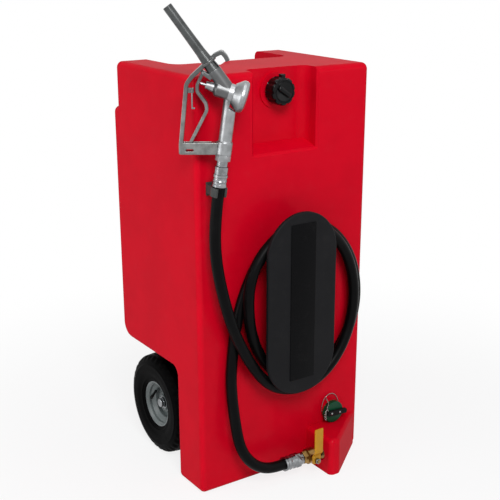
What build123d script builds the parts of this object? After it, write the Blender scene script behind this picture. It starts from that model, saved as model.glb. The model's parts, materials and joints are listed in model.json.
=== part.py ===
"""Fuel caddy: a hollow plastic tank on two wheels, with a hose, a nozzle and a ball valve.

Lengths are in millimetres. The tank's front face is the plane y = 0 while the pieces are made, with
the tank behind it, x to the right across the front and z up from the floor. Every piece is moved
back by half the foot's depth when it is written, so the origin is the middle of the foot.
"""

from build123d import *
import math
import os

# Tank
tank_width = 494.0
tank_width_at_floor = 484.0
tank_height = 1020.0
foot_depth = 116.0
lobe_depth = 400.0
lobe_depth_low = 397.0
lobe_floor = 295.0
ear_depth = 378.0
step_drop = 112.0
side_facing_share = 0.9
wall = 6.0
outline_round = 16.0
foot_round = 14.0
side_round = 13.0
lobe_round = 40.0
arch_round = 22.0
step_inner_round = 5.0
cut_overrun = 40.0

# Notch between the two ears at the back, and the grip bar across it
notch_width = 336.0
notch_depth = 156.0
notch_drop = 110.0
notch_round = 32.0
rim_dip_width = 74.0
rim_dip_depth = 11.0
rim_dip_from_middle = 62.0
rim_dip_length = 60.0
grip_radius = 14.0
grip_wall = 2.0
grip_drop = 62.0
grip_from_ear_back = 42.0
grip_seat = 18.0

# Filler recess, neck and cap
recess_width = 180.0
recess_depth = 50.0
recess_drop_front = 191.0
recess_drop_back = 174.0
recess_round = 26.0
recess_mouth = 5.0
filler_drop = 52.0
neck_bore = 24.0
neck_radius = 30.0
neck_reach = 28.0
neck_flange_radius = 42.0
neck_flange = 5.0
neck_tail = 10.0
cap_radius = 33.0
cap_skin = 3.0
cap_gap = 0.6
cap_skirt_gap = 5.5
cap_lobes = 10
cap_scallop_radius = 8.0
cap_scallop_share = 0.68
cap_grip_length = 40.0
cap_grip_width = 13.0
cap_grip_rise = 6.0
cap_grip_round = 5.2
cap_grip_turn = 35.0
cap_tab_width = 11.0
cap_tab_height = 7.0
cap_tab_length = 14.0
cap_seal_thickness = 2.5
cap_turn_gap = 0.4

# Keel between the wheels, with the axle's tunnel
keel_width = 236.0
keel_floor = 82.0
keel_depth = 352.0
axle_back = 268.0
axle_radius = 7.94
axle_gap = 0.3
tunnel_wall = 5.0

# Sump block at the front, on the right
block_left = 75.0
block_reach = 103.0
block_front_width = 27.0
block_height = 97.0
block_corner_round = 13.0
block_top_round = 11.0
block_root = 24.0
block_right_inset = 6.4
block_right_back = 3.2
port_radius = 22.0
port_depth = 9.0

# Sump cap
sump_cap_x = 147.0
sump_cap_height = 127.0
sump_boss_radius = 24.0
sump_boss_reach = 8.0
sump_cap_radius = 29.0
sump_cap_thickness = 15.0
sump_cap_gap = 0.5
sump_cap_round = 2.0
sump_plug_radius = 19.0
sump_plug_length = 16.0
sump_notches = 24
sump_notch_radius = 1.6
sump_seal_thickness = 2.0
sump_bar_length = 62.0
sump_bar_height = 13.0
sump_bar_thickness = 7.0
sump_bar_round = 4.0
sump_bar_shift = 6.0
sump_bar_tilt = 4.0
sump_screw_radius = 3.2
sump_screw_head = 2.2
sump_screw_shank_radius = 1.7
sump_screw_spacing = 26.0
tether_wire_radius = 0.9
tether_half_width = 27.0
tether_half_height = 36.0
tether_rise = 9.0
tether_off_face = 3.5
bead_radius = 1.8
tether_chain_shift = 9.0
tether_chain_drop = 5.3
tether_chain_gap = 0.5
bead_pitch = 4.3
bead_count = 12
bead_wire_radius = 0.5

# Hose hanger
plate_width = 200.0
plate_length = 458.0
plate_middle = 469.0
plate_thickness = 9.0
plate_edge_round = 3.5
hub_reach = 66.0
hub_width = 104.0
hub_length = 318.0
hub_middle = 463.0
hub_wall = 5.0
strip_width = 72.0
strip_length = 392.0
strip_thickness = 1.6
strip_middle = 475.0
hanger_bolt_radius = 4.0
hanger_bolt_head_radius = 6.5
hanger_bolt_head = 4.0
hanger_bolt_length = 98.0
hanger_bolt_spacing = 220.0
hanger_bolt_sink = 5.0
insert_radius = 7.5
insert_length = 30.0

# Hose. It runs from the nozzle's ferrule down the left of the tank, twice round the hanger, first in
# front and then nearer the tank, and down to the valve. The loops are quarter ellipses between the
# lowest, rightmost, highest and leftmost points of each turn.
hose_radius = 13.5
hose_bore = 8.0
hose_corner_share = 0.45
gap_step = 4.0
loop_steps = 4
hose_start_run = 52.0
ferrule_bore = 6.0
crimp_depth = 1.25
crimp_bands = 2
crimp_steps = 6
crimp_first_share = 1.4
crimp_spacing_share = 2.0
crimp_end_share = 1.3
hose_lead_in = [
    (-222, -37, 655),
    (-219, -40, 598),
    (-210, -44, 542),
    (-196, -46, 484),
    (-176, -46, 426),
    (-149, -46, 370),
    (-124, -46, 327),
    (-93, -46, 285),
    (-49, -46, 251),
]
hose_loop_corners = [
    (15, -46, 236),
    (184, -46, 450),
    (17, -46, 658),
    (-139, -46, 500),
    (50, -16, 250),
    (215, -16, 442),
    (34, -16, 655),
    (-168, -16, 310),
]
hose_lead_out = [
    (-167, -19, 250),
    (-166, -27, 203),
    (-165, -35, 169),
    (-163, -42, 138),
    (-153, -48.5, 106),
    (-133, -53, 77.5),
    (-105, -55, 57),
    (-71.5, -55, 46),
]

# Ball valve line, along x into the left face of the sump block
valve_y = -55.0
valve_height = 46.0
bottom_ferrule_left = -38.0
bottom_ferrule_length = 33.0
bottom_ferrule_radius = 18.2
bottom_nut_length = 22.0
bottom_nut_flats = 33.0
bottom_nut_hex_share = 0.62
bottom_nut_turn = 15.0
bottom_nut_collar_radius = 15.5
valve_end_length = 15.0
valve_end_flats = 30.0
valve_body_left = 34.0
valve_body_length = 24.0
valve_body_radius = 19.5
valve_bore = 6.5
ball_radius = 9.7
ball_gap = 0.3
chamber_reach = 10.3
seat_reach = 4.5
stem_x = 44.0
stem_radius = 4.5
stem_gap = 0.06
bonnet_radius = 9.5
bonnet_reach = 27.0
stem_reach = 40.0
valve_shoulder = 5.0
tongue_thickness = 4.0
tongue_depth = 2.5
lever_plate = 3.0
lever_width = 25.0
lever_hub_radius = 8.8
lever_hub_gap = 0.5
lever_length = 90.0
lever_step_from_stem = 14.0
lever_step_run = 10.0
lever_step_rise = 8.0
lever_corner_round = 3.0
lever_bend_radius = 4.5
lever_nut_flats = 13.0
lever_nut_height = 8.0
nipple_radius = 11.0
nipple_bore = 8.0
fitting_radius = 17.0
fitting_flange = 5.0
fitting_thread_radius = 14.5
fitting_length = 34.0

# Nozzle. Its own frame has u across the nozzle, v away from the viewer and w up, and its origin on
# the hose end's axis. The nozzle's plane is turned about z from the tank's front face.
nozzle_x = -211.0
nozzle_y = -42.7
nozzle_height = 790.0
nozzle_turn = 34.0
nozzle_lean = 7.7
top_ferrule_low = -8.0
top_ferrule_top = 19.6
top_ferrule_radius = 16.6
swivel_top = 38.5
swivel_edge = 1.5
swivel_radius = 15.2
swivel_neck_radius = 12.6
swivel_neck_top = 50.0
swivel_spigot_radius = 9.5
swivel_spigot_gap = 0.06
bushing_top = 64.0
bushing_flats = 29.5
grip_base_radius = 17.6
grip_base_top = 93.0
grip_tube_radius = 14.8
grip_tube_top = 196.0
grip_bore = 10.0
grip_bore_length = 122.0
main_axis_start = (-33.7, 217.5)
main_axis_fall = 18.0
barrel_from = 30.0
barrel_radius = 17.5
barrel_bore = 12.0
chamber_from = 44.0
chamber_radius = 15.0
ring_from = 58.0
ring_to = 68.0
ring_radius = 20.2
rear_cap_radius = 35.0
rear_cap_length = 31.0
rear_cap_skin = 4.0
rear_cap_front_radius = 22.5
rear_cap_shoulder_radius = 32.0
rear_cap_shoulder = 12.5
rear_flange_from = 17.0
rear_flange_to = 23.0
rear_cap_dome_radius = 22.0
rear_cap_dome_edge = 28.0
nut_from = 6.0
nut_cylinder = 4.0
nut_to = 24.0
nut_small_radius = 8.2
nut_big_radius = 11.0
nozzle_stem_radius = 2.9
nozzle_stem_gap = 0.06
nozzle_stem_out = 6.0
poppet_radius = 13.6
poppet_thickness = 4.0
poppet_edge = 2.0
poppet_at = 52.0
spring_wire = 0.9
spring_radius = 8.0
spring_turns = 6
spring_end_gap = 0.5
seam_at = (-10.8, 248.0)
tip_at = (-107.3, 380.7)
spout_radius = 10.5
spout_bore = 8.6
spout_tip_edge = 1.0
spout_straight = 60.0
spout_collar_radius = 15.0
spout_collar_length = 25.0
spout_neck_radius = 12.8
spout_taper_end = 47.0
spout_foot_radius = 11.2
throat_radius = 15.0
throat_length = 50.0
spout_spigot = 12.0
spout_spigot_radius = 11.5
guard_width = 22.0
guard_thickness = 9.0
guard_bar_thickness = 26.0
guard_bar_left = -88.0
guard_bar_low = 65.0
guard_bar_right = 7.0
guard_bar_round = 4.0
guard_strap_sink = 4.0
guard_bends = [(-69.5, 218.0), (-57.0, 234.0), (-7.0, 279.5), (7.0, 286.0), (15.0, 277.0)]
guard_hook_end = (20.0, 267.0)
guard_window_width = 17.0
guard_window_height = 5.0
guard_window_low = 72.0
guard_window_left = -73.0
guard_slot_left = -82.0
guard_slot_right = -17.0
guard_slot_gap = 0.5
guard_ring_at = 16.0
guard_ring_wall = 3.5
guard_ring_thickness = 6.0
guard_corner_round = 10.0
hook_round = 5.0
trigger_width = 11.0
trigger_thickness = 7.0
trigger_round = 12.0
trigger_eye_radius = 5.0
trigger_pivot = (-33.5, 242.5)
trigger_bends = [(-45.6, 217.5), (-46.8, 202.5), (-27.8, 176.6), (-25.8, 161.5)]
trigger_foot = (-66.0, 84.0)
trigger_wide_from = 104.0
trigger_wide_to = 222.0
trigger_pin_radius = 2.5
ear_radius = 4.5
ear_thickness = 3.0
ear_gap = 0.4
ear_root = (-15.0, 229.0)
pin_gap = 0.06
trigger_grip_width = 19.0
latch_pivot = (-58.0, 204.0)
latch_length = 40.0
latch_thickness = 3.0
latch_width = 8.0
latch_eye_radius = 4.6
latch_pin_radius = 2.0
latch_lug = 3.0
latch_lug_left = -70.0
latch_lug_half = 5.0
latch_lug_reach = 4.5
latch_gap = 0.4

# Clip for the nozzle end of the hose
clip_height = 20.0
clip_at = -21.0
clip_wall = 4.5
clip_gap = 0.3
clip_mouth = 84.0
clip_flare_radius = 3.2
clip_lip_turn = 6.0
clip_foot_height = 30.0
clip_foot_left = 8.0
clip_foot_right = 38.0
clip_foot_thickness = 5.0
clip_arm_width = 16.0
clip_screw_radius = 2.4
clip_screw_head_radius = 4.6
clip_screw_head = 2.4
clip_screw_length = 16.0
clip_screw_spacing = 17.0
clip_screw_shift = 28.0

# Wheels
wheel_offset = 185.0
tyre_radius = 132.5
tyre_width = 86.0
tyre_section = 75.0
tyre_shoulder = 30.0
tyre_wall = 7.0
tyre_bead_gap = 44.0
tread_groove_width = 5.0
tread_groove_depth = 4.0
tread_groove_spacing = 17.0
rim_flange_radius = 61.0
rim_flange_width = 66.0
rim_seat_radius = 55.0
rim_well_radius = 44.0
rim_well_width = 34.0
rim_metal = 3.0
rim_flange_slope = 6.0
rim_well_slope = 4.0
rim_dish_slope = 3.0
rim_disc_at = 4.0
rim_dish_radius = 30.0
rim_dish_depth = 6.0
hub_tube_radius = 20.5
hub_tube_bore = 17.5
hub_outer = 15.0
hub_inner = 33.0
bearing_width = 11.0
bearing_land = 3.0
bearing_groove_depth = 2.0
bearing_gap = 0.06
bearing_inset = 1.0
washer_thickness = 2.0
washer_radius = 14.0
spacer_radius = 11.5
side_gap = 0.4
axle_cap_radius = 11.5
axle_cap_height = 8.0
axle_cap_round = 2.4
axle_end_past_hub = 7.5
tyre_valve_radius = 3.2
tyre_valve_cap_radius = 4.0
tyre_valve_cap_length = 10.0
tyre_valve_length = 36.0
tyre_valve_foot = 1.5
tyre_valve_at = 10.0
tyre_valve_tilt = 52.0
tyre_valve_angle = -25.0

# Worked out from the sizes above
step_height = tank_height - step_drop
notch_floor = tank_height - notch_drop
grip_height = tank_height - grip_drop
recess_floor_front = tank_height - recess_drop_front
recess_floor_back = tank_height - recess_drop_back
filler_height = tank_height - filler_drop
stem_direction = Vector(
    math.cos(math.radians(main_axis_fall)), 0, -math.sin(math.radians(main_axis_fall))
)
lean_direction = Vector(
    math.sin(math.radians(nozzle_lean)), 0, math.cos(math.radians(nozzle_lean))
)
nozzle_frame = Pos(nozzle_x, nozzle_y, nozzle_height) * Rot(0, 0, -nozzle_turn)
seam_point = Vector(seam_at[0], 0, seam_at[1])
tip_point = Vector(tip_at[0], 0, tip_at[1])
spout_direction = (tip_point - seam_point).normalized()
main_start = Vector(main_axis_start[0], 0, main_axis_start[1])
plate_front = -hub_reach - plate_thickness
recess_back = recess_depth
valve_right = valve_body_left + valve_body_length
block_port_floor = block_left + port_depth


def turned(stations, origin=(0, 0, 0), direction=(0, 0, 1)):
    """A solid of revolution. A station is (distance along the axis, radius)."""
    outline = Plane.XZ * Polyline(*[(radius, along) for along, radius in stations], close=True)
    solid = revolve(make_face(outline), Axis.Z, 360)
    return Plane(origin=origin, z_dir=direction) * solid


def rod(start, direction, radius, length):
    """A plain round bar from a point, along a direction."""
    return Plane(origin=start, z_dir=direction) * Cylinder(
        radius, length, align=(Align.CENTER, Align.CENTER, Align.MIN)
    )


def pipe(start, direction, radius, bore, length):
    """A round tube from a point, along a direction."""
    return turned([(0, bore), (0, radius), (length, radius), (length, bore)], start, direction)


def hex_bar(start, direction, flats, length, turn=0):
    """A hexagonal bar, measured across its flats."""
    outline = Rot(0, 0, turn) * RegularPolygon(flats / 2, 6, major_radius=False)
    return Plane(origin=start, z_dir=direction) * extrude(outline, amount=length)


def between(low, high):
    """A box between two corners."""
    size = [b - a for a, b in zip(low, high)]
    return Pos(*low) * Box(*size, align=(Align.MIN, Align.MIN, Align.MIN))


def strap(points, radii, width, thickness):
    """A flat bar that follows a bent line in the nozzle's own plane."""
    path = FilletPolyline(*[(u, 0, w) for u, w in points], radius=radii)
    start = Plane(origin=path @ 0, x_dir=(0, 1, 0), z_dir=path % 0)
    return sweep(start * Rectangle(width, thickness), path=path)


def on_main_axis(distance):
    """A point on the nozzle's main valve axis."""
    return main_start + stem_direction * distance


def on_grip_axis(distance):
    """A point on the axis that the grip, the swivel and the ferrule share."""
    return lean_direction * distance


# Tank


def side_outline(inset):
    """The tank's outline from the side, drawn in by a wall's thickness if asked."""
    convex = outline_round - inset
    low_convex = foot_round - inset
    points = [
        (inset, inset),
        (foot_depth - inset, inset),
        (foot_depth - inset, lobe_floor + inset),
        (lobe_depth_low - inset, lobe_floor + inset),
        (lobe_depth - inset, step_height - inset),
        (ear_depth - inset, step_height - inset),
        (ear_depth - inset, tank_height - inset),
        (inset, tank_height - inset),
    ]
    radii = [
        low_convex,
        low_convex,
        arch_round + inset,
        lobe_round - inset,
        convex,
        step_inner_round,
        convex,
        convex,
    ]
    return make_face(Plane.YZ * FilletPolyline(*points, radius=radii, close=True))


def side_faces(form):
    """The faces that look left and right."""
    return form.faces().filter_by(lambda face: abs(face.normal_at().X) > side_facing_share)


def main_form(inset):
    """The foot, the upper lobe and the ears as one rounded block with slightly leaning sides."""
    slab = extrude(side_outline(inset), amount=tank_width, both=True)
    low = tank_width_at_floor / 2 - inset
    high = tank_width / 2 - inset
    sides = make_face(
        Plane.XZ * Polyline((-low, 0), (low, 0), (high, tank_height), (-high, tank_height), close=True)
    )
    form = slab & extrude(sides, amount=2 * lobe_depth, both=True)
    edges = ShapeList(edge for face in side_faces(form) for edge in face.edges())
    return fillet(edges, side_round - inset)


def keel_form(inset):
    """The part of the tank that reaches down between the wheels and carries the axle."""
    points = [
        (foot_depth - outline_round, keel_floor + inset),
        (keel_depth - outline_round * 2 - inset, keel_floor + inset),
        (keel_depth - inset, keel_floor + outline_round * 2 + inset),
        (keel_depth - inset, lobe_floor + outline_round),
        (foot_depth - outline_round, lobe_floor + outline_round),
    ]
    outline = make_face(Plane.YZ * Polyline(*points, close=True))
    form = extrude(outline, amount=keel_width / 2 - inset, both=True)
    edges = ShapeList(edge for face in side_faces(form) for edge in face.edges())
    below = edges.filter_by(lambda edge: edge.center().Z < lobe_floor)
    below = below.filter_by(lambda edge: edge.center().Y > foot_depth)
    return fillet(below, side_round - inset)


def block_form(inset):
    """The sump block, with its cut-off right corner."""
    right = tank_width_at_floor / 2 - block_right_inset
    outline = make_face(
        Polyline(
            (block_left, block_root),
            (block_left, -block_reach),
            (block_left + block_front_width, -block_reach),
            (right, block_right_back),
            (right, block_root),
            close=True,
        )
    )
    if inset:
        outline = offset(outline, amount=-inset, kind=Kind.INTERSECTION)
    form = Pos(0, 0, inset) * extrude(outline, amount=block_height - 2 * inset)
    upright = form.edges().filter_by(Axis.Z).filter_by(lambda edge: edge.center().Y < -2 * wall)
    form = fillet(upright, block_corner_round - inset)
    top = form.faces().sort_by(Axis.Z)[-1]
    rim = top.edges().filter_by(lambda edge: edge.center().Y < 0)
    return fillet(rim, block_top_round - inset)


def recess_form(grow):
    """The filler recess as a solid, grown by a wall's thickness if asked."""
    half = recess_width / 2 + grow
    outline = make_face(
        Plane.YZ
        * Polyline(
            (-cut_overrun, recess_floor_front - grow),
            (0, recess_floor_front - grow),
            (recess_depth + grow, recess_floor_back - grow),
            (recess_depth + grow, tank_height + cut_overrun),
            (-cut_overrun, tank_height + cut_overrun),
            close=True,
        )
    )
    form = extrude(outline, amount=half, both=True)
    upright = form.edges().filter_by(Axis.Z).filter_by(lambda edge: edge.center().Y > 0)
    return fillet(upright, recess_round)


def recess_mouth_form():
    """The bevel round the recess's mouth, in the tank's front face."""
    faces = []
    for y, spread in ((0, recess_mouth), (recess_mouth, 0)):
        half = recess_width / 2 + spread
        low = recess_floor_front - spread
        high = tank_height + cut_overrun
        outline = Polyline((-half, low), (half, low), (half, high), (-half, high), close=True)
        faces.append(Plane(origin=(0, y, 0), x_dir=(1, 0, 0), z_dir=(0, -1, 0)) * make_face(outline))
    return loft(faces)


def notch_form(grow):
    """The notch between the ears as a solid, grown by a wall's thickness if asked."""
    half = notch_width / 2 + grow
    front = ear_depth - notch_depth - grow
    form = between(
        (-half, front, notch_floor - grow), (half, lobe_depth + cut_overrun, tank_height + cut_overrun)
    )
    upright = form.edges().filter_by(Axis.Z).filter_by(lambda edge: edge.center().Y < ear_depth)
    return fillet(upright, notch_round)


def rim_dip_form():
    """The shallow dip in the top, which deepens towards the notch's front edge."""
    half = rim_dip_width / 2
    radius = (half**2 + rim_dip_depth**2) / (2 * rim_dip_depth)
    start = Vector(-rim_dip_from_middle, ear_depth - notch_depth - rim_dip_length, tank_height + radius)
    fall = Vector(0, rim_dip_length, -rim_dip_depth)
    return rod(start, fall, radius, 2 * rim_dip_length)


def tank_shell():
    """The hollow tank."""
    outer = main_form(0) + keel_form(0) + block_form(0)
    outer = outer - recess_form(0) - recess_mouth_form() - notch_form(0) - rim_dip_form()
    inner = main_form(wall) + keel_form(wall) + block_form(wall)
    inner = inner - recess_form(wall) - notch_form(wall) - Pos(0, 0, -wall) * rim_dip_form()
    tunnel_start = (-tank_width, axle_back, tyre_radius)
    tunnel_bore = axle_radius + axle_gap
    tunnel = rod(tunnel_start, (1, 0, 0), tunnel_bore + tunnel_wall, 2 * tank_width)
    port_start = (block_left, valve_y, valve_height)
    port_boss = rod(port_start, (1, 0, 0), port_radius + wall, fitting_length + wall)
    boss_start = (0, recess_back, filler_height)
    boss = rod(boss_start, (0, 1, 0), neck_flange_radius, wall)
    sump_start = (sump_cap_x, 0, sump_cap_height)
    sump_boss = rod(sump_start, (0, 1, 0), sump_boss_radius, sump_plug_length + wall)
    inner = inner - tunnel - port_boss - boss - sump_boss
    for x, z in hanger_bolt_places():
        inner = inner - rod((x, 0, z), (0, 1, 0), insert_radius + wall, insert_length + wall)
    for x, z in clip_screw_places():
        inner = inner - rod((x, 0, z), (0, 1, 0), clip_screw_radius + wall, clip_screw_length)
    for side in (-1, 1):
        ear_wall = Vector(side * notch_width / 2, ear_depth - grip_from_ear_back, grip_height)
        inner = inner - rod(ear_wall, (side, 0, 0), grip_radius + wall, grip_seat + wall)
    shell = outer - inner
    shell = shell - rod(tunnel_start, (1, 0, 0), tunnel_bore, 2 * tank_width)
    shell = shell - rod((0, 0, filler_height), (0, 1, 0), neck_radius, recess_back + 3 * wall)
    shell = shell - rod(port_start, (1, 0, 0), port_radius, port_depth)
    shell = shell - rod(port_start, (1, 0, 0), fitting_thread_radius, fitting_length + 2 * wall)
    shell = shell + rod(sump_start, (0, -1, 0), sump_boss_radius, sump_boss_reach)
    sump_mouth = (sump_cap_x, -sump_boss_reach, sump_cap_height)
    sump_depth = sump_boss_reach + sump_plug_length + 2 * wall
    shell = shell - rod(sump_mouth, (0, 1, 0), sump_plug_radius + sump_cap_gap, sump_depth)
    for x, z in hanger_bolt_places():
        shell = shell - rod((x, 0, z), (0, 1, 0), insert_radius, insert_length)
    for x, z in clip_screw_places():
        in_wall = clip_screw_length - clip_foot_thickness
        shell = shell - rod((x, 0, z), (0, 1, 0), clip_screw_radius, in_wall)
    for side in (-1, 1):
        ear_wall = Vector(side * notch_width / 2, ear_depth - grip_from_ear_back, grip_height)
        shell = shell - rod(ear_wall, (side, 0, 0), grip_radius, grip_seat)
    return shell


def grip_bar():
    """The tube across the notch, seated in both ears."""
    start = (-notch_width / 2 - grip_seat, ear_depth - grip_from_ear_back, grip_height)
    return pipe(start, (1, 0, 0), grip_radius, grip_radius - grip_wall, notch_width + 2 * grip_seat)


# Filler


def filler_neck():
    """The neck ring: a flange on the recess's back wall, a neck in front and a tail through the wall."""
    back = recess_back
    stations = [
        (0, neck_bore),
        (0, neck_radius - cap_skin),
        (neck_reach, neck_radius - cap_skin),
        (neck_reach, neck_flange_radius),
        (neck_reach + neck_flange, neck_flange_radius),
        (neck_reach + neck_flange, neck_radius),
        (neck_reach + neck_flange + neck_tail, neck_radius),
        (neck_reach + neck_flange + neck_tail, neck_bore),
    ]
    return turned(stations, (0, back - neck_reach - neck_flange, filler_height), (0, 1, 0))


def neck_mouth():
    """Where the neck's front rim stands."""
    return recess_back - neck_reach - neck_flange


def cap_seal():
    """The disc that seals the neck's rim."""
    start = (0, neck_mouth() - cap_seal_thickness, filler_height)
    return rod(start, (0, 1, 0), neck_radius - cap_skin, cap_seal_thickness)


def filler_cap():
    """The cap: a scalloped cup round the neck, with a raised grip and a tab."""
    inner_floor = neck_mouth() - cap_seal_thickness - cap_turn_gap
    front = inner_floor - cap_skin * 2
    skirt = recess_back - neck_flange - cap_skirt_gap - front
    bore = neck_radius - cap_skin + cap_gap
    cup = rod((0, front, filler_height), (0, 1, 0), cap_radius, skirt)
    rim = cup.edges().filter_by(GeomType.CIRCLE).sort_by(Axis.Y)[0]
    cup = fillet(rim, cap_skin)
    cup = cup - rod((0, inner_floor, filler_height), (0, 1, 0), bore, skirt)
    for index in range(cap_lobes):
        angle = math.radians(360 / cap_lobes * index + 180 / cap_lobes)
        reach = cap_radius + cap_scallop_radius * cap_scallop_share
        x, z = reach * math.sin(angle), reach * math.cos(angle)
        scallop_start = (x, front - cap_skin, filler_height + z)
        cup = cup - rod(scallop_start, (0, 1, 0), cap_scallop_radius, skirt + 2 * cap_skin)
    bar = Box(cap_grip_length, cap_grip_rise, cap_grip_width, align=(Align.CENTER, Align.MAX, Align.CENTER))
    bar = fillet(bar.edges().filter_by(Axis.Y), cap_grip_round)
    bar = Pos(0, front, filler_height) * Rot(0, cap_grip_turn, 0) * bar
    tab_foot = filler_height + cap_radius - cap_skin
    tab = between(
        (-cap_tab_width / 2, front + cap_skin, tab_foot - cap_skin),
        (cap_tab_width / 2, front + cap_skin + cap_tab_length, tab_foot + cap_tab_height),
    )
    return cup + bar + tab


# Sump cap


def sump_cap_frame():
    """The sump cap's own frame: its axis points out of the tank's front."""
    return Plane(origin=(sump_cap_x, 0, sump_cap_height), x_dir=(1, 0, 0), z_dir=(0, -1, 0))


def sump_cap():
    """The green cap: a knurled disc with a plug behind it."""
    seat = sump_boss_reach + sump_seal_thickness
    thickness = sump_cap_thickness - sump_seal_thickness
    disc = Pos(0, 0, seat) * Cylinder(
        sump_cap_radius, thickness, align=(Align.CENTER, Align.CENTER, Align.MIN)
    )
    disc = fillet(disc.edges().filter_by(GeomType.CIRCLE).sort_by(Axis.Z)[-1], sump_cap_round)
    for index in range(sump_notches):
        angle = math.radians(360 / sump_notches * index)
        notch = Cylinder(sump_notch_radius, 3 * sump_cap_thickness)
        disc = disc - Pos(sump_cap_radius * math.cos(angle), sump_cap_radius * math.sin(angle), 0) * notch
    plug = Pos(0, 0, -sump_plug_length) * Cylinder(
        sump_plug_radius,
        seat + sump_plug_length + sump_seal_thickness,
        align=(Align.CENTER, Align.CENTER, Align.MIN),
    )
    return sump_cap_frame() * (disc + plug)


def sump_cap_seal():
    """The ring between the cap and its boss."""
    ring = turned(
        [
            (sump_boss_reach, sump_plug_radius + sump_cap_gap),
            (sump_boss_reach, sump_boss_radius),
            (sump_boss_reach + sump_seal_thickness, sump_boss_radius),
            (sump_boss_reach + sump_seal_thickness, sump_plug_radius + sump_cap_gap),
        ]
    )
    return sump_cap_frame() * ring


def sump_cap_front():
    """How far the cap's face stands out of the tank."""
    return sump_boss_reach + sump_cap_thickness


def sump_cap_bar():
    """The bar across the cap's face."""
    bar = Pos(sump_bar_shift, 0, sump_cap_front()) * Box(
        sump_bar_length, sump_bar_height, sump_bar_thickness, align=(Align.CENTER, Align.CENTER, Align.MIN)
    )
    bar = fillet(bar.edges().filter_by(Axis.Z), sump_bar_round)
    for side in (-1, 1):
        hole = Cylinder(sump_screw_shank_radius, 4 * sump_cap_front())
        bar = bar - Pos(side * sump_screw_spacing / 2, 0, 0) * hole
    return sump_cap_frame() * Rot(0, 0, -sump_bar_tilt) * bar


def sump_cap_screws():
    """Two screws that hold the bar."""
    screws = []
    top = sump_cap_front() + sump_bar_thickness
    for side in (-1, 1):
        screw = turned(
            [
                (top - sump_bar_thickness, 0),
                (top - sump_bar_thickness, sump_screw_shank_radius),
                (top, sump_screw_shank_radius),
                (top, sump_screw_radius),
                (top + sump_screw_head / 2, sump_screw_radius),
                (top + sump_screw_head, sump_screw_radius / 2),
                (top + sump_screw_head, 0),
            ]
        )
        place = Rot(0, 0, -sump_bar_tilt) * Pos(side * sump_screw_spacing / 2, 0, 0)
        screws.append(sump_cap_frame() * place * screw)
    return Compound(screws)


def tether_level():
    """How far the wire loop stands out of the tank."""
    return tether_off_face + tether_wire_radius


def tether_ring():
    """The wire loop round the cap's boss."""
    ellipse = Ellipse(tether_half_width, tether_half_height)
    path = Pos(0, tether_rise, tether_level()) * ellipse.edges()[0]
    start = Plane(origin=path @ 0, z_dir=path % 0)
    return sump_cap_frame() * sweep(start * Circle(tether_wire_radius), path=path)


# Hose hanger


def obround(width, length, middle, front, thickness):
    """A plate with round ends, standing in the x-z plane, its front face at the given y."""
    upright = Plane(origin=(0, front, middle), x_dir=(1, 0, 0), z_dir=(0, -1, 0)) * Rot(0, 0, 90)
    return extrude(upright * SlotOverall(length, width), amount=-thickness)


def hanger_bolt_places():
    """The hanger's two bolts, as (x, z)."""
    return [(0, hub_middle + side * hanger_bolt_spacing / 2) for side in (-1, 1)]


def hanger_hub():
    """The hub that the hose hangs on: a hollow drum with two bolt bosses."""
    drum = obround(hub_width, hub_length, hub_middle, -hub_reach, hub_reach)
    inner_width = hub_width - 2 * hub_wall
    inner_length = hub_length - 2 * hub_wall
    drum = drum - obround(inner_width, inner_length, hub_middle, -hub_reach + hub_wall, hub_reach)
    for x, z in hanger_bolt_places():
        boss = rod((x, 0, z), (0, -1, 0), hanger_bolt_head_radius + hub_wall, hub_reach)
        drum = drum + boss - rod((x, 0, z), (0, -1, 0), hanger_bolt_radius, 2 * hub_reach)
    return drum


def hanger_plate():
    """The oval plate in front of the hub."""
    plate = obround(plate_width, plate_length, plate_middle, plate_front, plate_thickness)
    plate = fillet(plate.faces().sort_by(Axis.Y)[0].edges(), plate_edge_round)
    for x, z in hanger_bolt_places():
        plate = plate - rod((x, 0, z), (0, -1, 0), hanger_bolt_radius, 2 * hub_reach)
        sink = (x, plate_front + hanger_bolt_sink, z)
        plate = plate - rod(sink, (0, -1, 0), hanger_bolt_head_radius, hub_reach)
    return plate


def hanger_strip():
    """The glossy strip down the plate's middle."""
    half_width, half_length = strip_width / 2, strip_length / 2
    strip = between(
        (-half_width, plate_front - strip_thickness, strip_middle - half_length),
        (half_width, plate_front, strip_middle + half_length),
    )
    return fillet(strip.edges().filter_by(Axis.Y), strip_thickness)


def hanger_bolts():
    """Two bolts through the plate and the hub into the tank."""
    seat = plate_front + hanger_bolt_sink
    bolts = []
    for x, z in hanger_bolt_places():
        head = rod((x, seat, z), (0, -1, 0), hanger_bolt_head_radius, hanger_bolt_head)
        bolts.append(head + rod((x, seat, z), (0, 1, 0), hanger_bolt_radius, hanger_bolt_length))
    return Compound(bolts)


def hanger_inserts():
    """Blind brass inserts moulded into the tank's front."""
    hole = plate_front + hanger_bolt_sink + hanger_bolt_length
    inserts = []
    for x, z in hanger_bolt_places():
        insert = rod((x, 0, z), (0, 1, 0), insert_radius, insert_length)
        inserts.append(insert - rod((x, 0, z), (0, 1, 0), hanger_bolt_radius, hole))
    return Compound(inserts)


# Hose


def loop_points():
    """Points round both turns of the loose loop, by quarter ellipses between its outermost points."""
    points = []
    upright_first = True
    for start, end in zip(hose_loop_corners, hose_loop_corners[1:]):
        for step in range(loop_steps):
            share = step / loop_steps
            rise = math.sin(share * math.pi / 2)
            fall = 1 - math.cos(share * math.pi / 2)
            across, along = (rise, fall) if upright_first else (fall, rise)
            x = start[0] + (end[0] - start[0]) * across
            z = start[2] + (end[2] - start[2]) * along
            points.append((x, start[1] + (end[1] - start[1]) * share, z))
        upright_first = not upright_first
    return points + [hose_loop_corners[-1]]


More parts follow.
